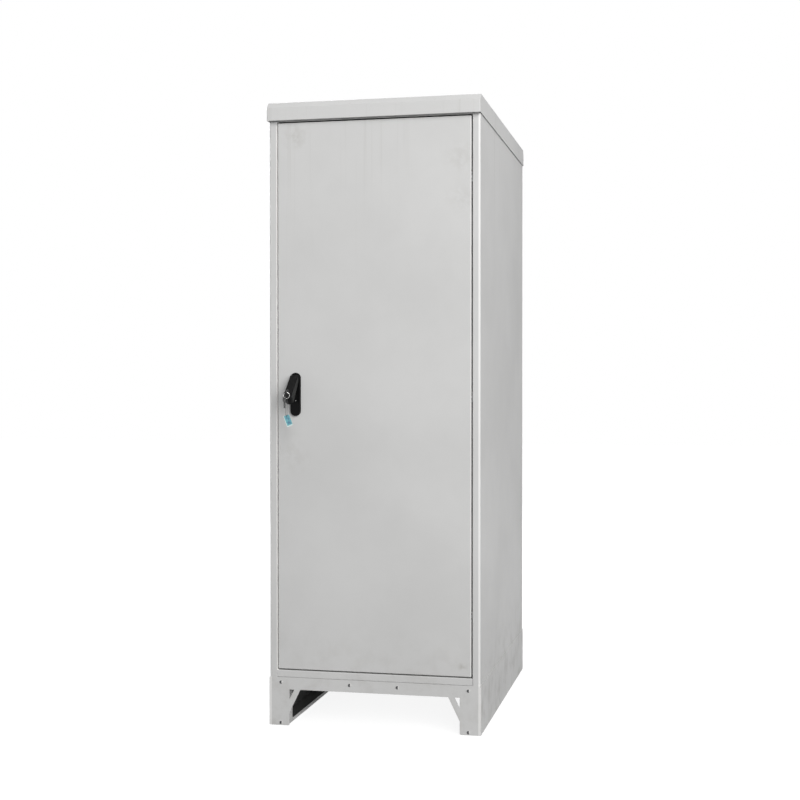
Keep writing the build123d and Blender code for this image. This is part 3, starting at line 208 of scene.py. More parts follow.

# %% [markdown]
# ## Powder coat
# The cabinet is sprayed with a pale grey powder that melts to a satin skin. Close up
# it has a fine orange peel; from a step away it shows slight cloudiness, a film of
# road dust near the ground and faint rain tracks below the roof. All of this hangs on
# Object coordinates, so the patterns run on from sheet to sheet as real dirt does.
#
# Five masks are not dirt or paint but light painted into the colour, to come closer to the
# photograph: a painted highlight beside the door's right and top gaps, inside the left gap and on
# the front corners' bend, and painted shade inside the right and top gaps and in the plinth's
# trays. They stay there under any other lamps. The coat also mirrors less than a real one does, for
# the same reason.

# %% Mix the powder coat
coat_grey = (0.632, 0.630, 0.626)
coat_shade = (0.585, 0.583, 0.579)
# Painted highlight: the colour given to the door's gap edges, the inside of the left gap and the
# front bends.
painted_highlight_grey = (0.96, 0.95, 0.935)
# Painted shade: the colour given to the inside of the door's gaps and of the plinth's trays.
painted_shade_grey = (0.050, 0.050, 0.048)
dust_brown = (0.36, 0.345, 0.315)
plinth_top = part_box("plinth_front")[1][2]
tray_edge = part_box("plinth_right")[0][0]
tray_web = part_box("plinth_right")[1][0] - 0.002
tray_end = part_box("plinth_right")[1][1]
roof_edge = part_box("roof_cap")[0][2]
door_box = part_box("door_skin")
door_left = door_box[0][0]
door_right = door_box[1][0]
front_face = door_box[0][1]
door_low = door_box[0][2]
door_high = door_box[1][2]
half_gap = (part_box("front_header")[1][0] - door_right) / 2
gap_x = door_right + half_gap
gap_z = door_high + half_gap
door_middle_z = (door_low + door_high) / 2
door_reach_z = gap_z + half_gap - door_middle_z
corner_line = 0.0065
bend_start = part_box("right_side_wall")[1][0] - corner_line
line_end = 0.0050
line_core = 0.0022
bend_light = 0.45
edge_gain = 0.75
gap_shade = 0.85
tray_shade = 0.9
coat_mirror = 0.09


def powder_coat(name, marks=(), dust=1.0):
    """The grey coat, with optional smudges given as (place, radius, strength), and painted
    highlights and shade at the door's gaps, the front bends and the plinth's trays.
    """
    coat = Finish(name)
    across = coat.along(0)
    depth = coat.along(1)
    height = coat.along(2)
    cloud = coat.noise(2.3, 4.0, 0.55)
    colour = coat.mix(coat.ramp(cloud, 0.3, 0.75), coat_grey, coat_shade)
    tracks = coat.noise(1.0, 3.0, 0.6, coat.stretched(75.0, 75.0, 0.9))
    below_roof = coat.ramp(height, roof_edge - 0.75, roof_edge)
    track_mask = coat.ramp(tracks, 0.56, 0.78) * below_roof * 0.16 * dust
    colour = coat.mix(track_mask, colour, dust_brown)
    splash = coat.noise(14.0, 5.0, 0.62)
    near_ground = coat.ramp(height, 0.42, 0.0)
    splash_mask = coat.ramp(splash, 0.42, 0.72) * near_ground * 0.30 * dust
    colour = coat.mix(splash_mask, colour, dust_brown)
    speck = coat.noise(420.0, 1.0, 0.4)
    colour = coat.mix(coat.ramp(speck, 0.66, 0.74) * 0.12 * dust, colour, dust_brown)
    # Painted highlight: a pale band on both sides of the door's right and top gaps, in place of
    # light on the rounded edges.
    beside_gap = coat.ramp((across - gap_x).size(), line_end, line_core)
    below_gap = coat.ramp((height - gap_z).size(), line_end, line_core)
    below_gap = below_gap * coat.ramp(across.size(), gap_x, gap_x - 0.001)
    at_face = coat.ramp(depth, front_face + 0.0018, front_face + 0.0012)
    door_band = coat.ramp((height - door_middle_z).size(), door_reach_z + 0.0005, door_reach_z)
    edge_light = beside_gap.most(below_gap) * at_face * door_band
    colour = coat.mix(edge_light * edge_gain, colour, painted_highlight_grey)
    # Painted shade: the inside of the door's right and top gaps is made nearly black.
    gap_shade_mask = beside_gap.most(below_gap) * coat.ramp(depth, front_face + 0.0025, front_face + 0.006)
    gap_shade_mask = gap_shade_mask * coat.ramp(depth, front_face + 0.035, front_face + 0.025) * door_band
    colour = coat.mix(gap_shade_mask * gap_shade, colour, painted_shade_grey)
    # Painted highlight: the front corners' bend is made paler, where the key light falls most
    # squarely.
    bend_highlight_mask = coat.ramp(across.size(), bend_start, bend_start + 0.001)
    bend_highlight_mask = bend_highlight_mask * coat.ramp(height, roof_edge, roof_edge - 0.001)
    bend_highlight_mask = bend_highlight_mask * coat.ramp(depth, front_face + 0.008, front_face + 0.006)
    colour = coat.mix(bend_highlight_mask * bend_light, colour, painted_highlight_grey)
    # Painted light: the inside of the door's left gap is made as pale as the highlights.
    left_gap_highlight = coat.ramp((across + gap_x).size(), line_end, line_core) * door_band
    left_gap_highlight = left_gap_highlight * coat.ramp(depth, front_face + 0.001, front_face + 0.002)
    left_gap_highlight = left_gap_highlight * coat.ramp(depth, front_face + 0.03, front_face + 0.02)
    colour = coat.mix(left_gap_highlight, colour, painted_highlight_grey)
    # Painted shade: the inside of the plinth's side trays is made nearly black.
    tray_shade_mask = coat.ramp(across.size(), tray_web, tray_web - 0.0003)
    tray_shade_mask = tray_shade_mask * coat.ramp(across.size(), tray_edge + 0.0018, tray_edge + 0.0024)
    tray_shade_mask = tray_shade_mask * coat.ramp(height, plinth_top - 0.001, plinth_top - 0.002)
    tray_shade_mask = tray_shade_mask * coat.ramp(depth.size(), tray_end - 0.0015, tray_end - 0.003)
    colour = coat.mix(tray_shade_mask * tray_shade, colour, painted_shade_grey)
    soiled = track_mask + splash_mask
    for place, radius, strength in marks:
        smudge = coat.spot(place, radius) * coat.ramp(coat.noise(38.0, 4.0, 0.6), 0.38, 0.62)
        colour = coat.mix(smudge * strength, colour, dust_brown)
        soiled = soiled + smudge * strength
    peel = coat.noise(650.0, 2.0, 0.5)
    wave = coat.noise(7.0, 1.0, 0.4)
    relief = peel * 0.35 + wave
    roughness = 0.40 + soiled * 0.45 + (cloud - 0.5) * 0.12
    return coat.finish(base_color=colour, roughness=roughness, specular_ior_level=coat_mirror,
                       normal=coat.bump(relief, 0.16, 0.0012))


door_marks = (
    ((door_left + 0.058, front_face, door_high - 0.045), 0.060, 0.30),
    ((door_right - 0.035, front_face, door_high - 0.13), 0.080, 0.16),
    ((door_right - 0.030, front_face, door_high - 0.26), 0.075, 0.14),
    ((door_right - 0.027, front_face, door_low + 0.031), 0.022, 0.55),
    ((door_left + 0.050, front_face, door_low + 0.70), 0.090, 0.14),
)
coated = powder_coat("powder_coat")
coated_door = powder_coat("powder_coat_door", door_marks)
print("powder coat nodes:", len(coated.node_tree.nodes))

# %% [markdown]
# ## Zinc, steel and brass
# Inside, the trays, rails and brackets are galvanised sheet. Its zinc freezes in
# flat crystals, the spangle, each a little lighter or darker than the next. Voronoi
# cells give those crystals. Fasteners have the same metal without the spangle.


# %% Mix the metals
def zinc_sheet(name, light, dark, cell=55.0):
    zinc = Finish(name)
    inputs = {"Vector": zinc.place, "Scale": cell, "Randomness": 1.0}
    crystals = zinc.node("TexVoronoi", {"feature": "F1"}, inputs, "Color")
    crystal = zinc.node("SeparateColor", {}, {0: crystals}, 0)
    haze = zinc.noise(9.0, 4.0, 0.6)
    colour = zinc.mix(crystal * 0.6 + haze * 0.4, dark, light)
    roughness = 0.36 + crystal * 0.16 + haze * 0.08
    return zinc.finish(base_color=colour, metallic=0.85, roughness=roughness,
                       normal=zinc.bump(haze + crystal * 0.1, 0.08, 0.001))


def plain_metal(name, colour, worn, roughness, metallic=1.0, scale=160.0):
    metal = Finish(name)
    grain = metal.noise(scale, 4.0, 0.6)
    tone = metal.mix(metal.ramp(grain, 0.35, 0.75), colour, worn)
    varied = roughness + (grain - 0.5) * 0.2
    return metal.finish(base_color=tone, metallic=metallic, roughness=varied,
                        normal=metal.bump(grain, 0.1, 0.0004))


def cast_metal(name, colour, worn):
    cast = Finish(name)
    pits = cast.noise(380.0, 3.0, 0.55)
    flow = cast.noise(30.0, 3.0, 0.5)
    tone = cast.mix(cast.ramp(flow, 0.3, 0.7), colour, worn)
    return cast.finish(base_color=tone, metallic=0.9, roughness=0.48 + pits * 0.14,
                       normal=cast.bump(pits, 0.25, 0.0005))


zinc = zinc_sheet("zinc_spangle", (0.60, 0.61, 0.62), (0.40, 0.41, 0.42))
fastener = plain_metal("zinc_plated_fastener", (0.56, 0.56, 0.55), (0.40, 0.40, 0.39), 0.34)
dark_fastener = plain_metal("dark_fastener", (0.070, 0.070, 0.075), (0.12, 0.12, 0.12), 0.42)
# Coated screw heads in a grey paler than the coat: the extra paleness is a painted highlight.
coated_screw_highlight = plain_metal("coated_screw_highlight", (0.72, 0.715, 0.70), (0.62, 0.615, 0.60), 0.45, 0.0)
bright_wire = plain_metal("bright_wire", (0.70, 0.70, 0.69), (0.55, 0.55, 0.54), 0.22)
brass = plain_metal("brass_stud", (0.66, 0.47, 0.19), (0.50, 0.35, 0.15), 0.32)
case_casting = cast_metal("lock_case_casting", (0.42, 0.42, 0.43), (0.34, 0.34, 0.35))
sintered = cast_metal("sintered_gear", (0.24, 0.24, 0.25), (0.17, 0.17, 0.18))
print("metals:", len(bpy.data.materials))

# %% [markdown]
# ## Black lock, rubber and plastics
# The lock is a zinc casting under a black satin lacquer, worn a little paler where
# hands meet it. Rubber is duller and catches dust. The keys have moulded black bows,
# and the tag is a turquoise plastic plate whose colour is not quite even.


# %% Mix the lacquer, the rubber and the plastics
def black_lacquer(name, worn_at, worn_radius, painted_glints):
    lacquer = Finish(name)
    grain = lacquer.noise(520.0, 2.0, 0.5)
    rubbed = lacquer.ramp(lacquer.noise(120.0, 4.0, 0.65), 0.40, 0.70)
    rubbed = lacquer.spot(worn_at, worn_radius) * rubbed
    dusty = lacquer.ramp(lacquer.noise(60.0, 4.0, 0.6), 0.5, 0.8)
    dusty = dusty * lacquer.ramp(lacquer.facing(2), 0.2, 0.9)
    colour = lacquer.mix(rubbed * 0.4, (0.0035, 0.0035, 0.0038), (0.020, 0.020, 0.020))
    colour = lacquer.mix(dusty * 0.20, colour, (0.08, 0.078, 0.072))
    # Painted glints: small pale spots on the black lacquer stand in for highlights.
    for place, radius in painted_glints:
        colour = lacquer.mix(lacquer.spot(place, radius, 0.5), colour, (0.42, 0.42, 0.41))
    return lacquer.finish(base_color=colour, roughness=0.33 + grain * 0.10 + dusty * 0.25,
                          specular_ior_level=0.06, coat_weight=0.06, coat_roughness=0.09,
                          normal=lacquer.bump(grain, 0.10, 0.0003))


def foam_rubber(name):
    foam = Finish(name)
    cells = foam.noise(700.0, 3.0, 0.6)
    bloom = foam.noise(25.0, 3.0, 0.6)
    colour = foam.mix(foam.ramp(bloom, 0.4, 0.8), (0.018, 0.018, 0.019), (0.050, 0.050, 0.048))
    return foam.finish(base_color=colour, roughness=0.78 + bloom * 0.15, specular_ior_level=0.3,
                       normal=foam.bump(cells, 0.45, 0.0006))


def moulded_plastic(name, colour, worn, roughness):
    plastic = Finish(name)
    texture = plastic.noise(900.0, 2.0, 0.5)
    cloud = plastic.noise(70.0, 3.0, 0.5)
    tone = plastic.mix(plastic.ramp(cloud, 0.35, 0.75), colour, worn)
    return plastic.finish(base_color=tone, roughness=roughness + (texture - 0.5) * 0.14,
                          normal=plastic.bump(texture, 0.18, 0.0002))


lever_low, lever_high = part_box("lever")
lever_tip = Vector(((lever_low[0] + lever_high[0]) / 2, lever_low[1], lever_low[2]))
# Three painted glints on the lever and the lock plate.
painted_glints = (
    (Vector((-0.2514, -0.5170, 1.1315)), 0.0022),
    (Vector((-0.2559, -0.5155, 1.0650)), 0.0018),
    (Vector((-0.2705, -0.5470, 1.1100)), 0.0026),
)
lacquer = black_lacquer("black_lacquer", lever_tip, 0.045, painted_glints)
rubber = foam_rubber("black_foam")
key_plastic = moulded_plastic("key_bow", (0.009, 0.009, 0.010), (0.018, 0.018, 0.019), 0.42)
polymer = moulded_plastic("black_polymer", (0.030, 0.030, 0.031), (0.048, 0.048, 0.047), 0.55)
dark_cylinder = plain_metal("lock_cylinder", (0.05, 0.05, 0.05), (0.10, 0.10, 0.10), 0.34)

# %% Mix the tag's plastic
tag_low, tag_high = (Vector(corner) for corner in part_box("key_tag"))
tag_middle = (tag_low + tag_high) / 2


def tag_plastic(name, down, across):
    """A turquoise label behind clear plastic, with a bare strip at two of its edges."""
    tag = Finish(name)
    reach_down = tag.reach(tag_middle, down)
    reach_across = tag.reach(tag_middle, across)
    patches = tag.ramp(tag.noise(150.0, 3.0, 0.6), 0.44, 0.62)
    label = tag.mix(patches, (0.095, 0.320, 0.360), (0.040, 0.140, 0.230))
    clear = tag.ramp(reach_down, 0.0142, 0.0150).most(tag.ramp(reach_across, 0.0076, 0.0084))
    colour = tag.mix(clear, label, (0.50, 0.60, 0.59))
    scratches = tag.noise(60.0, 4.0, 0.7, tag.stretched(1.0, 1.0, 9.0))
    return tag.finish(base_color=colour, roughness=0.22 + scratches * 0.18,
                      specular_ior_level=0.5, coat_weight=0.5, coat_roughness=0.12,
                      normal=tag.bump(scratches, 0.12, 0.0002))


up = Vector((0.0, 0.0, 1.0))
tag_turn = math.radians(42.0)
tag_lean = math.radians(22.0)
tag_flat = Vector((math.cos(tag_turn), math.sin(tag_turn), 0.0))
tag_side = up.cross(tag_flat)
tag_down = tag_flat * math.sin(tag_lean) - up * math.cos(tag_lean)
tag_across = -tag_flat * math.cos(tag_lean) - up * math.sin(tag_lean)
tag_finish = tag_plastic("tag_turquoise", tag_down, tag_across)
print("plastics:", key_plastic.name, polymer.name, tag_finish.name)

# %% [markdown]
# ## Dress the CAD nodes
# Most solids already have the right shape and only need their finish. The record
# names a material slot for each node, so one table from slot to finish dresses them.

# %% Give every CAD node its finish
finish_of_slot = {
    "powder_coat": coated,
    "zinc_sheet": zinc,
    "zinc_fastener": fastener,
    "dark_fastener": dark_fastener,
    "black_foam": rubber,
    "black_casting": lacquer,
    "cast_case": case_casting,
    "sintered_steel": sintered,
    "lock_cylinder": dark_cylinder,
    "bright_steel": bright_wire,
    "key_black": key_plastic,
    "tag_turquoise": tag_finish,
    "black_polymer": polymer,
    "brass_stud": brass,
}


def dress(piece, material):
    piece.data.materials.clear()
    piece.data.materials.append(material)


slot_of_node = {entry["node"]: entry["material_slot"] for entry in record["subparts"]}
for name, node in nodes.items():
    dress(node, finish_of_slot[slot_of_node[name]])
dress(nodes["door_skin"], coated_door)
dress(nodes["tag_loop"], dark_fastener)
print("dressed", len(nodes), "nodes")

# %% [markdown]
# ## Floor, background and light
# The photograph shows the cabinet cut out on white. Floor and world are white to the
# camera and in what metal and glass mirror or let through, but they light the cabinet
# only dimly, so that the lamps decide. The key light stands high, in front and to the
# right: the door is brighter than the side, and the rounded corner between them, which
# faces the lamp squarely, is brightest of all.


# %% Make the floor
bpy.ops.object.select_all(action="DESELECT")
bpy.ops.mesh.primitive_plane_add(size=40.0, location=(0.0, 0.0, 0.0))
floor = bpy.context.active_object
floor.name = "studio_floor"
floor_finish = Finish("studio_floor")
by_camera = floor_finish.node("LightPath", {}, {}, "Is Camera Ray")
by_mirror = floor_finish.node("LightPath", {}, {}, "Is Glossy Ray")
through_glass = floor_finish.node("LightPath", {}, {}, "Is Transmission Ray")
seen = by_camera.most(by_mirror).most(through_glass)
white = floor_finish.node("Emission", {}, {"Color": (1.0, 1.0, 1.0, 1.0), "Strength": 1.0})
# Painted shade: near the cabinet the floor's white is dimmed by up to 12 percent, fading out 3.2 m
# away, so that the cast shadow shows.
near = floor_finish.spot(Vector((0.0, 0.0, 0.0)), 3.2)
floor_finish.finish(base_color=(0.20, 0.20, 0.20), roughness=0.95, specular_ior_level=0.0)
floor_output = floor_finish.tree.nodes["Material Output"]
lit = Value(floor_finish, floor_finish.shader.outputs[0])
white_where_seen = floor_finish.node("MixShader", {}, {0: seen * (1.0 - near * 0.12), 2: white})
floor_mix = floor_finish.node("AddShader", {}, {0: lit, 1: white_where_seen})
floor_finish.set(floor_output.inputs["Surface"], floor_mix)
dress(floor, floor_finish.material)

# %% Make the world white to the camera, to mirrors and through glass
world = bpy.data.worlds.new("studio")
bpy.context.scene.world = world
world.use_nodes = True
world_nodes = world.node_tree.nodes
world_links = world.node_tree.links
sky = world_nodes["Background"]
sky.inputs["Color"].default_value = (0.97, 0.985, 1.0, 1.0)
sky.inputs["Strength"].default_value = 0.26
backdrop = world_nodes.new("ShaderNodeBackground")
backdrop.inputs["Color"].default_value = (1.0, 1.0, 1.0, 1.0)
backdrop.inputs["Strength"].default_value = 1.0
path = world_nodes.new("ShaderNodeLightPath")
sees_backdrop = world_nodes.new("ShaderNodeMath")
sees_backdrop.operation = "MAXIMUM"
mirrors_backdrop = world_nodes.new("ShaderNodeMath")
mirrors_backdrop.operation = "MAXIMUM"
world_links.new(path.outputs["Is Glossy Ray"], mirrors_backdrop.inputs[0])
world_links.new(path.outputs["Is Transmission Ray"], mirrors_backdrop.inputs[1])
world_links.new(path.outputs["Is Camera Ray"], sees_backdrop.inputs[0])
world_links.new(mirrors_backdrop.outputs[0], sees_backdrop.inputs[1])
choose = world_nodes.new("ShaderNodeMixShader")
world_links.new(sees_backdrop.outputs[0], choose.inputs[0])
world_links.new(sky.outputs[0], choose.inputs[1])
world_links.new(backdrop.outputs[0], choose.inputs[2])
world_links.new(choose.outputs[0], world_nodes["World Output"].inputs["Surface"])


# %% Hang the lamps
def lamp(name, place, target, size, power, colour):
    """A soft rectangular lamp at a place, aimed at a target."""
    data = bpy.data.lights.new(name, "AREA")
    data.shape = "RECTANGLE"
    data.size, data.size_y = size
    data.energy = power
    data.color = colour
    made = bpy.data.objects.new(name, data)
    made.location = place
    made.rotation_euler = (Vector(target) - Vector(place)).to_track_quat("-Z", "Y").to_euler()
    bpy.context.scene.collection.objects.link(made)


lamps = {
    "key_lamp": ((3.75, -5.35, 3.7), (0.2, -0.3, 1.3), (5.0, 5.0), 442.0, (1.0, 0.995, 0.985)),
    "front_fill": ((1.0, -5.6, 3.0), (0.0, 0.0, 1.0), (2.0, 2.0), 38.0, (0.97, 0.99, 1.0)),
    "rear_fill": ((-3.4, 4.8, 3.4), (0.0, 0.0, 1.1), (3.5, 3.0), 380.0, (0.97, 0.98, 1.0)),
    "top_lamp": ((0.2, 0.2, 5.2), (0.0, 0.0, 2.0), (3.0, 3.0), 10.0, (1.0, 1.0, 1.0)),
}
for lamp_name, settings in lamps.items():
    lamp(lamp_name, *settings)
bpy.context.scene.view_settings.view_transform = "Standard"

# %% [markdown]
# ## Tools for new pieces
# New pieces start from a primitive, are shaped in edit mode and finished with
# modifiers. Three small helpers do what a hand does between steps: clear the
# selection, pick faces or edges by where they are, and apply a modifier. A finished
# piece has its place in its mesh, as a CAD node has, and its object at the origin.


# %% Define the helpers
def clear_selection():
    if bpy.context.mode != "OBJECT":
        bpy.ops.object.mode_set(mode="OBJECT")
    bpy.ops.object.select_all(action="DESELECT")


def take(piece):
    """Make one piece the active and only selected object."""
    clear_selection()
    piece.select_set(True)
    bpy.context.view_layer.objects.active = piece


def pick(piece, kind, chosen):
    """Open edit mode with only those faces or edges selected that `chosen` accepts."""
    take(piece)
    bpy.ops.object.mode_set(mode="EDIT")
    bpy.ops.mesh.select_mode(type=kind)
    bpy.ops.mesh.select_all(action="DESELECT")
    mesh = bmesh.from_edit_mesh(piece.data)
    elements = mesh.faces if kind == "FACE" else mesh.edges
    for element in elements:
        if chosen(element):
            element.select_set(True)
    bmesh.update_edit_mesh(piece.data)


def leave_edit():
    bpy.ops.object.mode_set(mode="OBJECT")


def modify(piece, kind, **settings):
    """Add a modifier, set it and apply it."""
    take(piece)
    modifier = piece.modifiers.new(kind.lower(), kind)
    for setting, value in settings.items():
        setattr(modifier, setting, value)
    bpy.ops.object.modifier_apply(modifier=modifier.name)


def settle(piece, name, placed=None):
    """Name a piece and put its place into its mesh."""
    take(piece)
    piece.name = name
    if placed is not None:
        piece.matrix_world = placed
    bpy.context.view_layer.update()
    bpy.ops.object.transform_apply(location=True, rotation=True, scale=True)
    bpy.ops.object.shade_smooth_by_angle(angle=math.radians(32.0))
    return piece


def merged_copy(node_name, name):
    """A CAD node's shape as one closed mesh that edit mode can work on."""
    piece = nodes[node_name].copy()
    piece.data = nodes[node_name].data.copy()
    bpy.context.scene.collection.objects.link(piece)
    piece.name = name
    take(piece)
    bpy.ops.object.mode_set(mode="EDIT")
    bpy.ops.mesh.select_all(action="SELECT")
    bpy.ops.mesh.remove_doubles(threshold=0.00001)
    bpy.ops.mesh.dissolve_limited(angle_limit=math.radians(1.0))
    leave_edit()
    return piece


def round_edges(piece, width, segments=3, angle=30.0):
    """Round every sharp edge, as a casting or a moulding has it."""
    modify(piece, "BEVEL", width=width, segments=segments, limit_method="ANGLE",
           angle_limit=math.radians(angle), use_clamp_overlap=True)
    smooth(piece)


def smooth(piece, angle=40.0):
    """Shade smoothly, and let the large flat faces decide how the light falls on them."""
    take(piece)
    bpy.ops.object.shade_smooth_by_angle(angle=math.radians(angle))
    modify(piece, "WEIGHTED_NORMAL", weight=100, keep_sharp=True)


body_of_node = {
    node: body for body, members in record["behaviour"]["bodies"].items() for node in members
}


def stand_in(piece, node_name, material):
    """Let a finished piece take the place of one CAD node, on the same body."""
    dress(piece, material)
    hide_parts(node_name)
    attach(piece, body_of_node[node_name])


print("tools ready")

# %% [markdown]
# ## Lever and lock plate
# Both are die castings. A casting has no knife edges: each edge is rounded a little,
# and that is what draws the fine bright lines along a black part. So each takes the
# CAD shape and rounds its edges.

# %% Round the castings
lever_casting = merged_copy("lever", "lever_casting")
round_edges(lever_casting, 0.0012)
stand_in(lever_casting, "lever", lacquer)

plate_casting = merged_copy("lock_plate", "lock_plate_casting")
round_edges(plate_casting, 0.0006, 2)
stand_in(plate_casting, "lock_plate", lacquer)
print("castings:", len(lever_casting.data.polygons), len(plate_casting.data.polygons))

# %% [markdown]
# ## Roof
# The roof is one folded sheet. Its upright corners are welded and ground, which leaves
# them rounder than the folds along the top. Both show as bright lines at the edge of
# the cap. Edit mode can bevel just those edges, so that the thin rim below stays crisp.

# %% Round the roof's corners and folds
tiny = 0.0002
corner_radius = 0.0032
fold_radius = 0.0022
roof_low, roof_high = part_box("roof_cap")
roof_sheet = merged_copy("roof_cap", "roof_sheet")


def at_end(value, axis):
    """True where a coordinate lies on the roof's outside along an axis."""
    return min(abs(value - roof_low[axis]), abs(value - roof_high[axis])) < tiny


def roof_corner(edge):
    first, second = (vertex.co for vertex in edge.verts)
    upright = abs(first.x - second.x) < tiny and abs(first.y - second.y) < tiny
    return upright and at_end(first.x, 0) and at_end(first.y, 1)


def roof_fold(edge):
    first, second = (vertex.co for vertex in edge.verts)
    lengthways = edge.calc_length() > 0.4
    level = abs(first.z - second.z) < tiny and first.z > (roof_low[2] + roof_high[2]) / 2
    outside = at_end(first.z, 2) or at_end(first.y, 1) and at_end(second.y, 1)
    return lengthways and level and outside


pick(roof_sheet, "EDGE", roof_corner)
bpy.ops.mesh.bevel(offset=corner_radius, segments=5, affect="EDGES")
pick(roof_sheet, "EDGE", roof_fold)
bpy.ops.mesh.bevel(offset=fold_radius, segments=4, affect="EDGES")
leave_edit()
smooth(roof_sheet)
stand_in(roof_sheet, "roof_cap", coated)
print("roof faces:", len(roof_sheet.data.polygons))

# %% [markdown]
# ## Side walls
# The front corner of each side wall catches the key light in a bright line, two pixels
# wide in the photograph. The CAD's bend of 5 mm draws it too thin, so it is widened to
# 7 mm here: the corner's arc moves about its centre, while the flat faces on both
# sides of it stay in their planes.

# %% Widen the bend at the front corners
drawn_bend = 0.005
wide_bend = 0.007


def widen_bend(node_name, side):
    """Give a wall's front corner a larger radius. The side is -1 left and 1 right."""
    wall = merged_copy(node_name, node_name + "_folded")
    low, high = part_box(node_name)
    outer_x = high[0] if side > 0 else low[0]
    growth = wide_bend - drawn_bend
    centre = Vector((outer_x - side * drawn_bend, low[1] + drawn_bend, 0.0))
    for vertex in wall.data.vertices:
        offset = Vector((vertex.co.x, vertex.co.y, 0.0)) - centre
        if offset.x * side > -tiny and offset.y < tiny:
            shift = Vector((-side * growth, growth, 0.0))
            vertex.co += shift + offset.normalized() * growth
    smooth(wall)
    stand_in(wall, node_name, coated)
    return wall


walls = [widen_bend("left_side_wall", -1.0), widen_bend("right_side_wall", 1.0)]
print("wall faces:", [len(wall.data.polygons) for wall in walls])

# %% [markdown]
# ## Cut sheet, brackets and nuts
# A laser leaves a sheet's edge square, but the coat rounds it, and a nut is chamfered
# where a spanner slides on. A small bevel on a copy of each gives the glint that tells
# the eye how thick the metal is. One table holds each node's name and its rounding.

# %% Ease the edges of sheet, brackets and nuts
easings = {
    "plinth_front": 0.0005, "plinth_rear": 0.0005, "plinth_left": 0.0005, "plinth_right": 0.0005,
    "plinth_crossbars": 0.0004, "rear_panel": 0.0005, "base_tray_front": 0.0004,
    "base_tray_rear": 0.0004, "depth_rails": 0.0005, "cross_rails": 0.0005,
    "rack_upright_left": 0.0003, "rack_upright_right": 0.0003, "hinge_brackets": 0.0005,
    "hinge_leaves": 0.0005, "hinge_pins": 0.0005, "base_bolts": 0.0007, "base_nuts": 0.0007,
    "roof_nuts": 0.0007, "earth_nut": 0.0007, "earth_stud": 0.0004, "lock_nuts": 0.0005,
    "lock_case": 0.0007, "lock_cover": 0.0004, "rod_guides": 0.0006, "rod_upper": 0.0003,
    "rod_lower": 0.0003, "rod_tip_upper": 0.0005, "rod_tip_lower": 0.0005, "turn_hub": 0.0004,
    "drive_pinion": 0.0002, "lock_barrel": 0.0004, "lock_plug": 0.0002, "lock_cam": 0.0003,
    "lever_pin": 0.0003,
}
eased_faces = 0
for node_name, width in easings.items():
    eased = merged_copy(node_name, node_name + "_eased")
    round_edges(eased, width, 2, 35.0)
    stand_in(eased, node_name, finish_of_slot[slot_of_node[node_name]])
    eased_faces += len(eased.data.polygons)
print("eased pieces:", len(easings), "faces:", eased_faces)

# %% [markdown]
# ## Lips of the plinth trays
# Seen through the opening under the cabinet, the side tray is dark inside a paler
# frame: its edges are turned once more, into a lip that stands between the tray's two
# flanges. The CAD part has no such lip, so these two are new pieces with no solid
# behind them. The lip is one sheet with a long opening, cut with a Boolean.

# %% Turn the lips
lip_sheet = 0.0020
lip_height = 0.0085
lip_end = 0.048
plinth_sheet = 0.0025


def box_piece(name, low, high):
    """A block between two corners, to be cut and eased."""
    clear_selection()
    bpy.ops.mesh.primitive_cube_add(size=1.0, location=(low + high) / 2)
    block = bpy.context.active_object
    block.name = name
    block.scale = high - low
    take(block)
    bpy.ops.object.transform_apply(location=True, rotation=True, scale=True)
    return block


def tray_lip(node_name, side):
    low, high = (Vector(corner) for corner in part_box(node_name))
    inner_x = low.x if side > 0 else high.x
    lip_x = sorted((inner_x, inner_x + side * lip_sheet))
    start = Vector((lip_x[0], low.y + plinth_sheet, low.z + plinth_sheet))
    end = Vector((lip_x[1], high.y - plinth_sheet, high.z - plinth_sheet))
    margin = Vector((-lip_sheet, lip_end, lip_height))
    lip = box_piece(node_name + "_lip", start, end)
    opening = box_piece("opening", start + margin, end - margin)
    modify(lip, "BOOLEAN", object=opening, operation="DIFFERENCE", solver="EXACT")
    bpy.data.objects.remove(opening)
    round_edges(lip, 0.0004, 2)
    dress(lip, coated)
    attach(lip, body_of_node[node_name])
    return lip


lips = [tray_lip("plinth_left", -1.0), tray_lip("plinth_right", 1.0)]
print("lip faces:", [len(lip.data.polygons) for lip in lips])

# %% [markdown]
# ## Gasket and seals
# Foam seals are not square in section. The door's gasket is poured as a bead, so its
# free edges are round, and the cable seals are two soft blocks that close on each
# other with a slit. A wide bevel turns a square strip into a bead.

# %% Round the foam
foam_rounding = {"door_gasket": 0.0030, "rear_seal": 0.0010, "cable_seals": 0.0040}
for node_name, width in foam_rounding.items():
    foam_strip = merged_copy(node_name, node_name + "_bead")
    round_edges(foam_strip, width, 5)
    stand_in(foam_strip, node_name, rubber)
    print(foam_strip.name, len(foam_strip.data.polygons))

# %% [markdown]
# ## Screws
# The screws are button heads with a hexagon socket. One is modelled standing on its
# tip: a disc, its rim rounded, its shank drawn out below, its socket cut by a six-sided
# prism. Then it is copied to where the CAD has its screws, which are read from the
# separate solids of each node.


# %% Read the place of each solid in a node
def solids(node_name):
    """The corners of each separate solid of a node, in the same order in each run."""
    mesh = bmesh.new()
    mesh.from_mesh(nodes[node_name].data)
    bmesh.ops.remove_doubles(mesh, verts=mesh.verts, dist=0.00001)
    unseen = set(mesh.verts)
    boxes = []
    while unseen:
        queue = [unseen.pop()]
        places = []
        while queue:
            vertex = queue.pop()
            places.append(vertex.co.copy())
            for edge in vertex.link_edges:
                other = edge.other_vert(vertex)
                if other in unseen:
                    unseen.remove(other)
                    queue.append(other)
        low = Vector([min(place[axis] for place in places) for axis in range(3)])
        high = Vector([max(place[axis] for place in places) for axis in range(3)])
        boxes.append((low, high))
    mesh.free()
    return sorted(boxes, key=lambda box: tuple(box[0]))


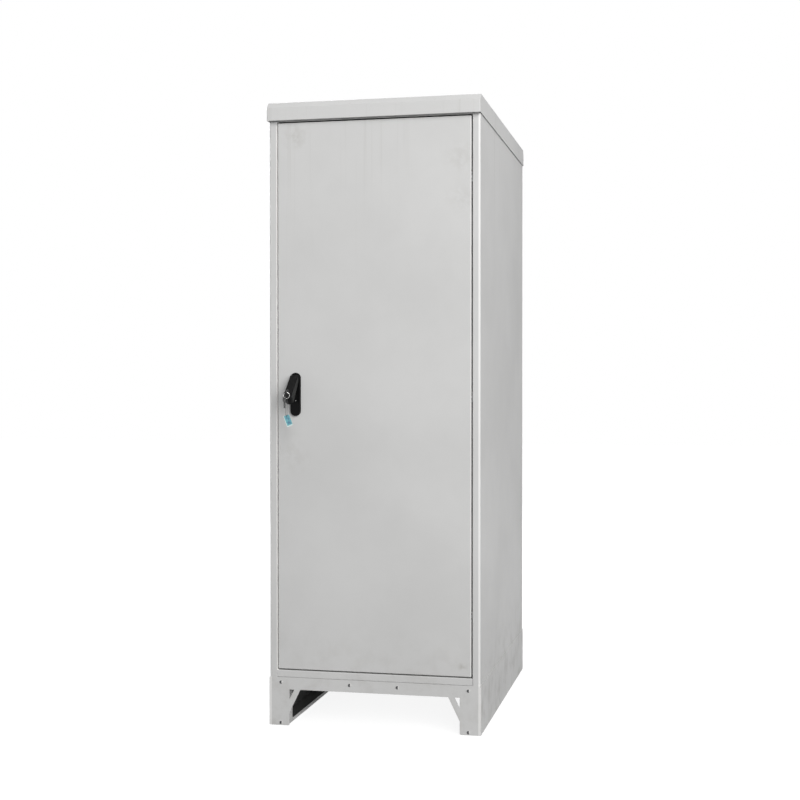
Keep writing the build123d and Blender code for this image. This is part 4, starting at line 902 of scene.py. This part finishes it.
for node_name in ("plinth_screws", "rear_panel_screws", "upright_bolts", "hinge_screws"):
    print(node_name, len(solids(node_name)))


# %% Model one screw
socket_share = 0.44


def socket_screw(name, head_radius, head_height, shank_radius, length):
    """A button-head screw with its shank down -Z and its head's seat at z = 0."""
    clear_selection()
    bpy.ops.mesh.primitive_cylinder_add(
        vertices=24, radius=head_radius, depth=head_height, location=(0.0, 0.0, head_height / 2))
    screw = bpy.context.active_object
    screw.name = name
    pick(screw, "FACE", lambda face: face.normal.z < -0.9)
    bpy.ops.mesh.inset(thickness=head_radius - shank_radius)
    bpy.ops.mesh.extrude_region_move(TRANSFORM_OT_translate={"value": (0.0, 0.0, -length)})
    pick(screw, "EDGE", lambda edge: all(vertex.co.z > head_height - tiny for vertex in edge.verts))
    bpy.ops.mesh.bevel(offset=head_height * 0.62, segments=5, affect="EDGES")
    pick(screw, "EDGE", lambda edge: all(vertex.co.z < tiny - length for vertex in edge.verts))
    bpy.ops.mesh.bevel(offset=shank_radius * 0.25, segments=1, affect="EDGES")
    leave_edit()
    clear_selection()
    bpy.ops.mesh.primitive_cylinder_add(
        vertices=6, radius=head_radius * socket_share, depth=head_height * 1.6,
        location=(0.0, 0.0, head_height))
    socket = bpy.context.active_object
    modify(screw, "BOOLEAN", object=socket, operation="DIFFERENCE", solver="EXACT")
    bpy.data.objects.remove(socket)
    smooth(screw, 32.0)
    return screw


# %% Put a screw at each of a node's solids
def place_screws(node_name, head_height, shank_radius, outward, material):
    """Copy one screw to every solid of a node, its head towards the outward sign of Y."""
    boxes = solids(node_name)
    low, high = boxes[0]
    head_radius = (high.x - low.x) / 2
    master = socket_screw(node_name + "_socket", head_radius, head_height, shank_radius,
                          high.y - low.y - head_height)
    copies = []
    for low, high in boxes:
        middle = (low + high) / 2
        sign = outward(middle)
        seat_y = high.y - head_height if sign > 0 else low.y + head_height
        copy = master.copy()
        copy.data = master.data.copy()
        bpy.context.scene.collection.objects.link(copy)
        turn = Matrix.Rotation(math.radians(-90.0 * sign), 4, "X")
        copy.matrix_world = Matrix.Translation((middle.x, seat_y, middle.z)) @ turn
        copies.append(copy)
    bpy.data.objects.remove(master)
    clear_selection()
    for copy in copies:
        copy.select_set(True)
    bpy.context.view_layer.objects.active = copies[0]
    bpy.ops.object.join()
    joined = settle(copies[0], node_name + "_socketed")
    stand_in(joined, node_name, material)
    # Painted shade: the faces inside each socket get the dark fastener finish.
    joined.data.materials.append(dark_fastener)
    axes = [(low + high) / 2 for low, high in boxes]
    for polygon in joined.data.polygons:
        spots = [polygon.center - axis for axis in axes]
        reach = min(math.hypot(spot.x, spot.z) for spot in spots)
        if reach < head_radius * socket_share:
            polygon.material_index = 1
    return joined


def front_or_back(middle):
    return 1.0 if middle.y > 0.0 else -1.0


def to_front(middle):
    return -1.0


def to_back(middle):
    return 1.0


placed_screws = [
    place_screws("plinth_screws", 0.0026, 0.0029, front_or_back, coated_screw_highlight),
    place_screws("rear_panel_screws", 0.0026, 0.0029, to_back, dark_fastener),
    place_screws("upright_bolts", 0.0026, 0.0029, to_front, fastener),
    place_screws("hinge_screws", 0.0020, 0.0020, to_front, fastener),
    place_screws("lock_cover_screws", 0.0020, 0.0014, to_back, fastener),
]
print("screws:", [(piece.name, len(piece.data.polygons)) for piece in placed_screws])

# %% [markdown]
# ## Keys and tag
# Each key has a moulded bow with a raised rim and a steel blade with a milled groove.
# Both are an inset on the flat sides, pressed in a little, and so is the window of the
# tag. The spare key's cuts are taken out of its blade with small three-sided prisms.

# %% Shape the keys and the tag
panel_inset = 0.0016
panel_depth = 0.0003


def flat_side(face):
    """The large faces of a key's bow, its blade and the tag."""
    return face.calc_area() > 0.0001


def panelled(node_name, name):
    moulding = merged_copy(node_name, name)
    pick(moulding, "FACE", flat_side)
    bpy.ops.mesh.inset(thickness=panel_inset, depth=-panel_depth)
    leave_edit()
    return moulding


key_moulding = panelled("key", "key_moulded")
spare_moulding = panelled("spare_key", "spare_key_moulded")
tag_moulding = panelled("key_tag", "tag_framed")
mouldings = (key_moulding, spare_moulding, tag_moulding)
print("faces:", [len(piece.data.polygons) for piece in mouldings])

# %% Cut the spare key's blade
notch_radius = 0.0022
notch_width = 0.006
blade_half = 0.0038
notch_pitch = 0.0031
notch_depths = (0.0009, 0.0018, 0.0012, 0.0020)
spare_low, spare_high = (Vector(corner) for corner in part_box("spare_key"))
spare_middle = (spare_low + spare_high) / 2
blade_tip = Vector((spare_middle.x, spare_middle.y, spare_low.z))
cuts = []
for order, depth in enumerate(notch_depths):
    away = blade_half + notch_radius - depth
    place = blade_tip + up * notch_pitch * (order + 1) + tag_side * away
    clear_selection()
    bpy.ops.mesh.primitive_cylinder_add(vertices=3, radius=notch_radius, depth=notch_width)
    cut = bpy.context.active_object
    cut.matrix_world = Matrix((up, -tag_side, tag_flat)).transposed().to_4x4()
    cut.matrix_world.translation = place
    cuts.append(cut)
clear_selection()
for cut in cuts:
    cut.select_set(True)
bpy.context.view_layer.objects.active = cuts[0]
bpy.ops.object.join()
modify(spare_moulding, "BOOLEAN", object=cuts[0], operation="DIFFERENCE", solver="EXACT")
bpy.data.objects.remove(cuts[0])

round_edges(key_moulding, 0.00035, 2)
round_edges(spare_moulding, 0.00015, 1)
round_edges(tag_moulding, 0.0006, 2)
stand_in(key_moulding, "key", key_plastic)
stand_in(spare_moulding, "spare_key", key_plastic)
stand_in(tag_moulding, "key_tag", tag_finish)
print("spare key faces:", len(spare_moulding.data.polygons))
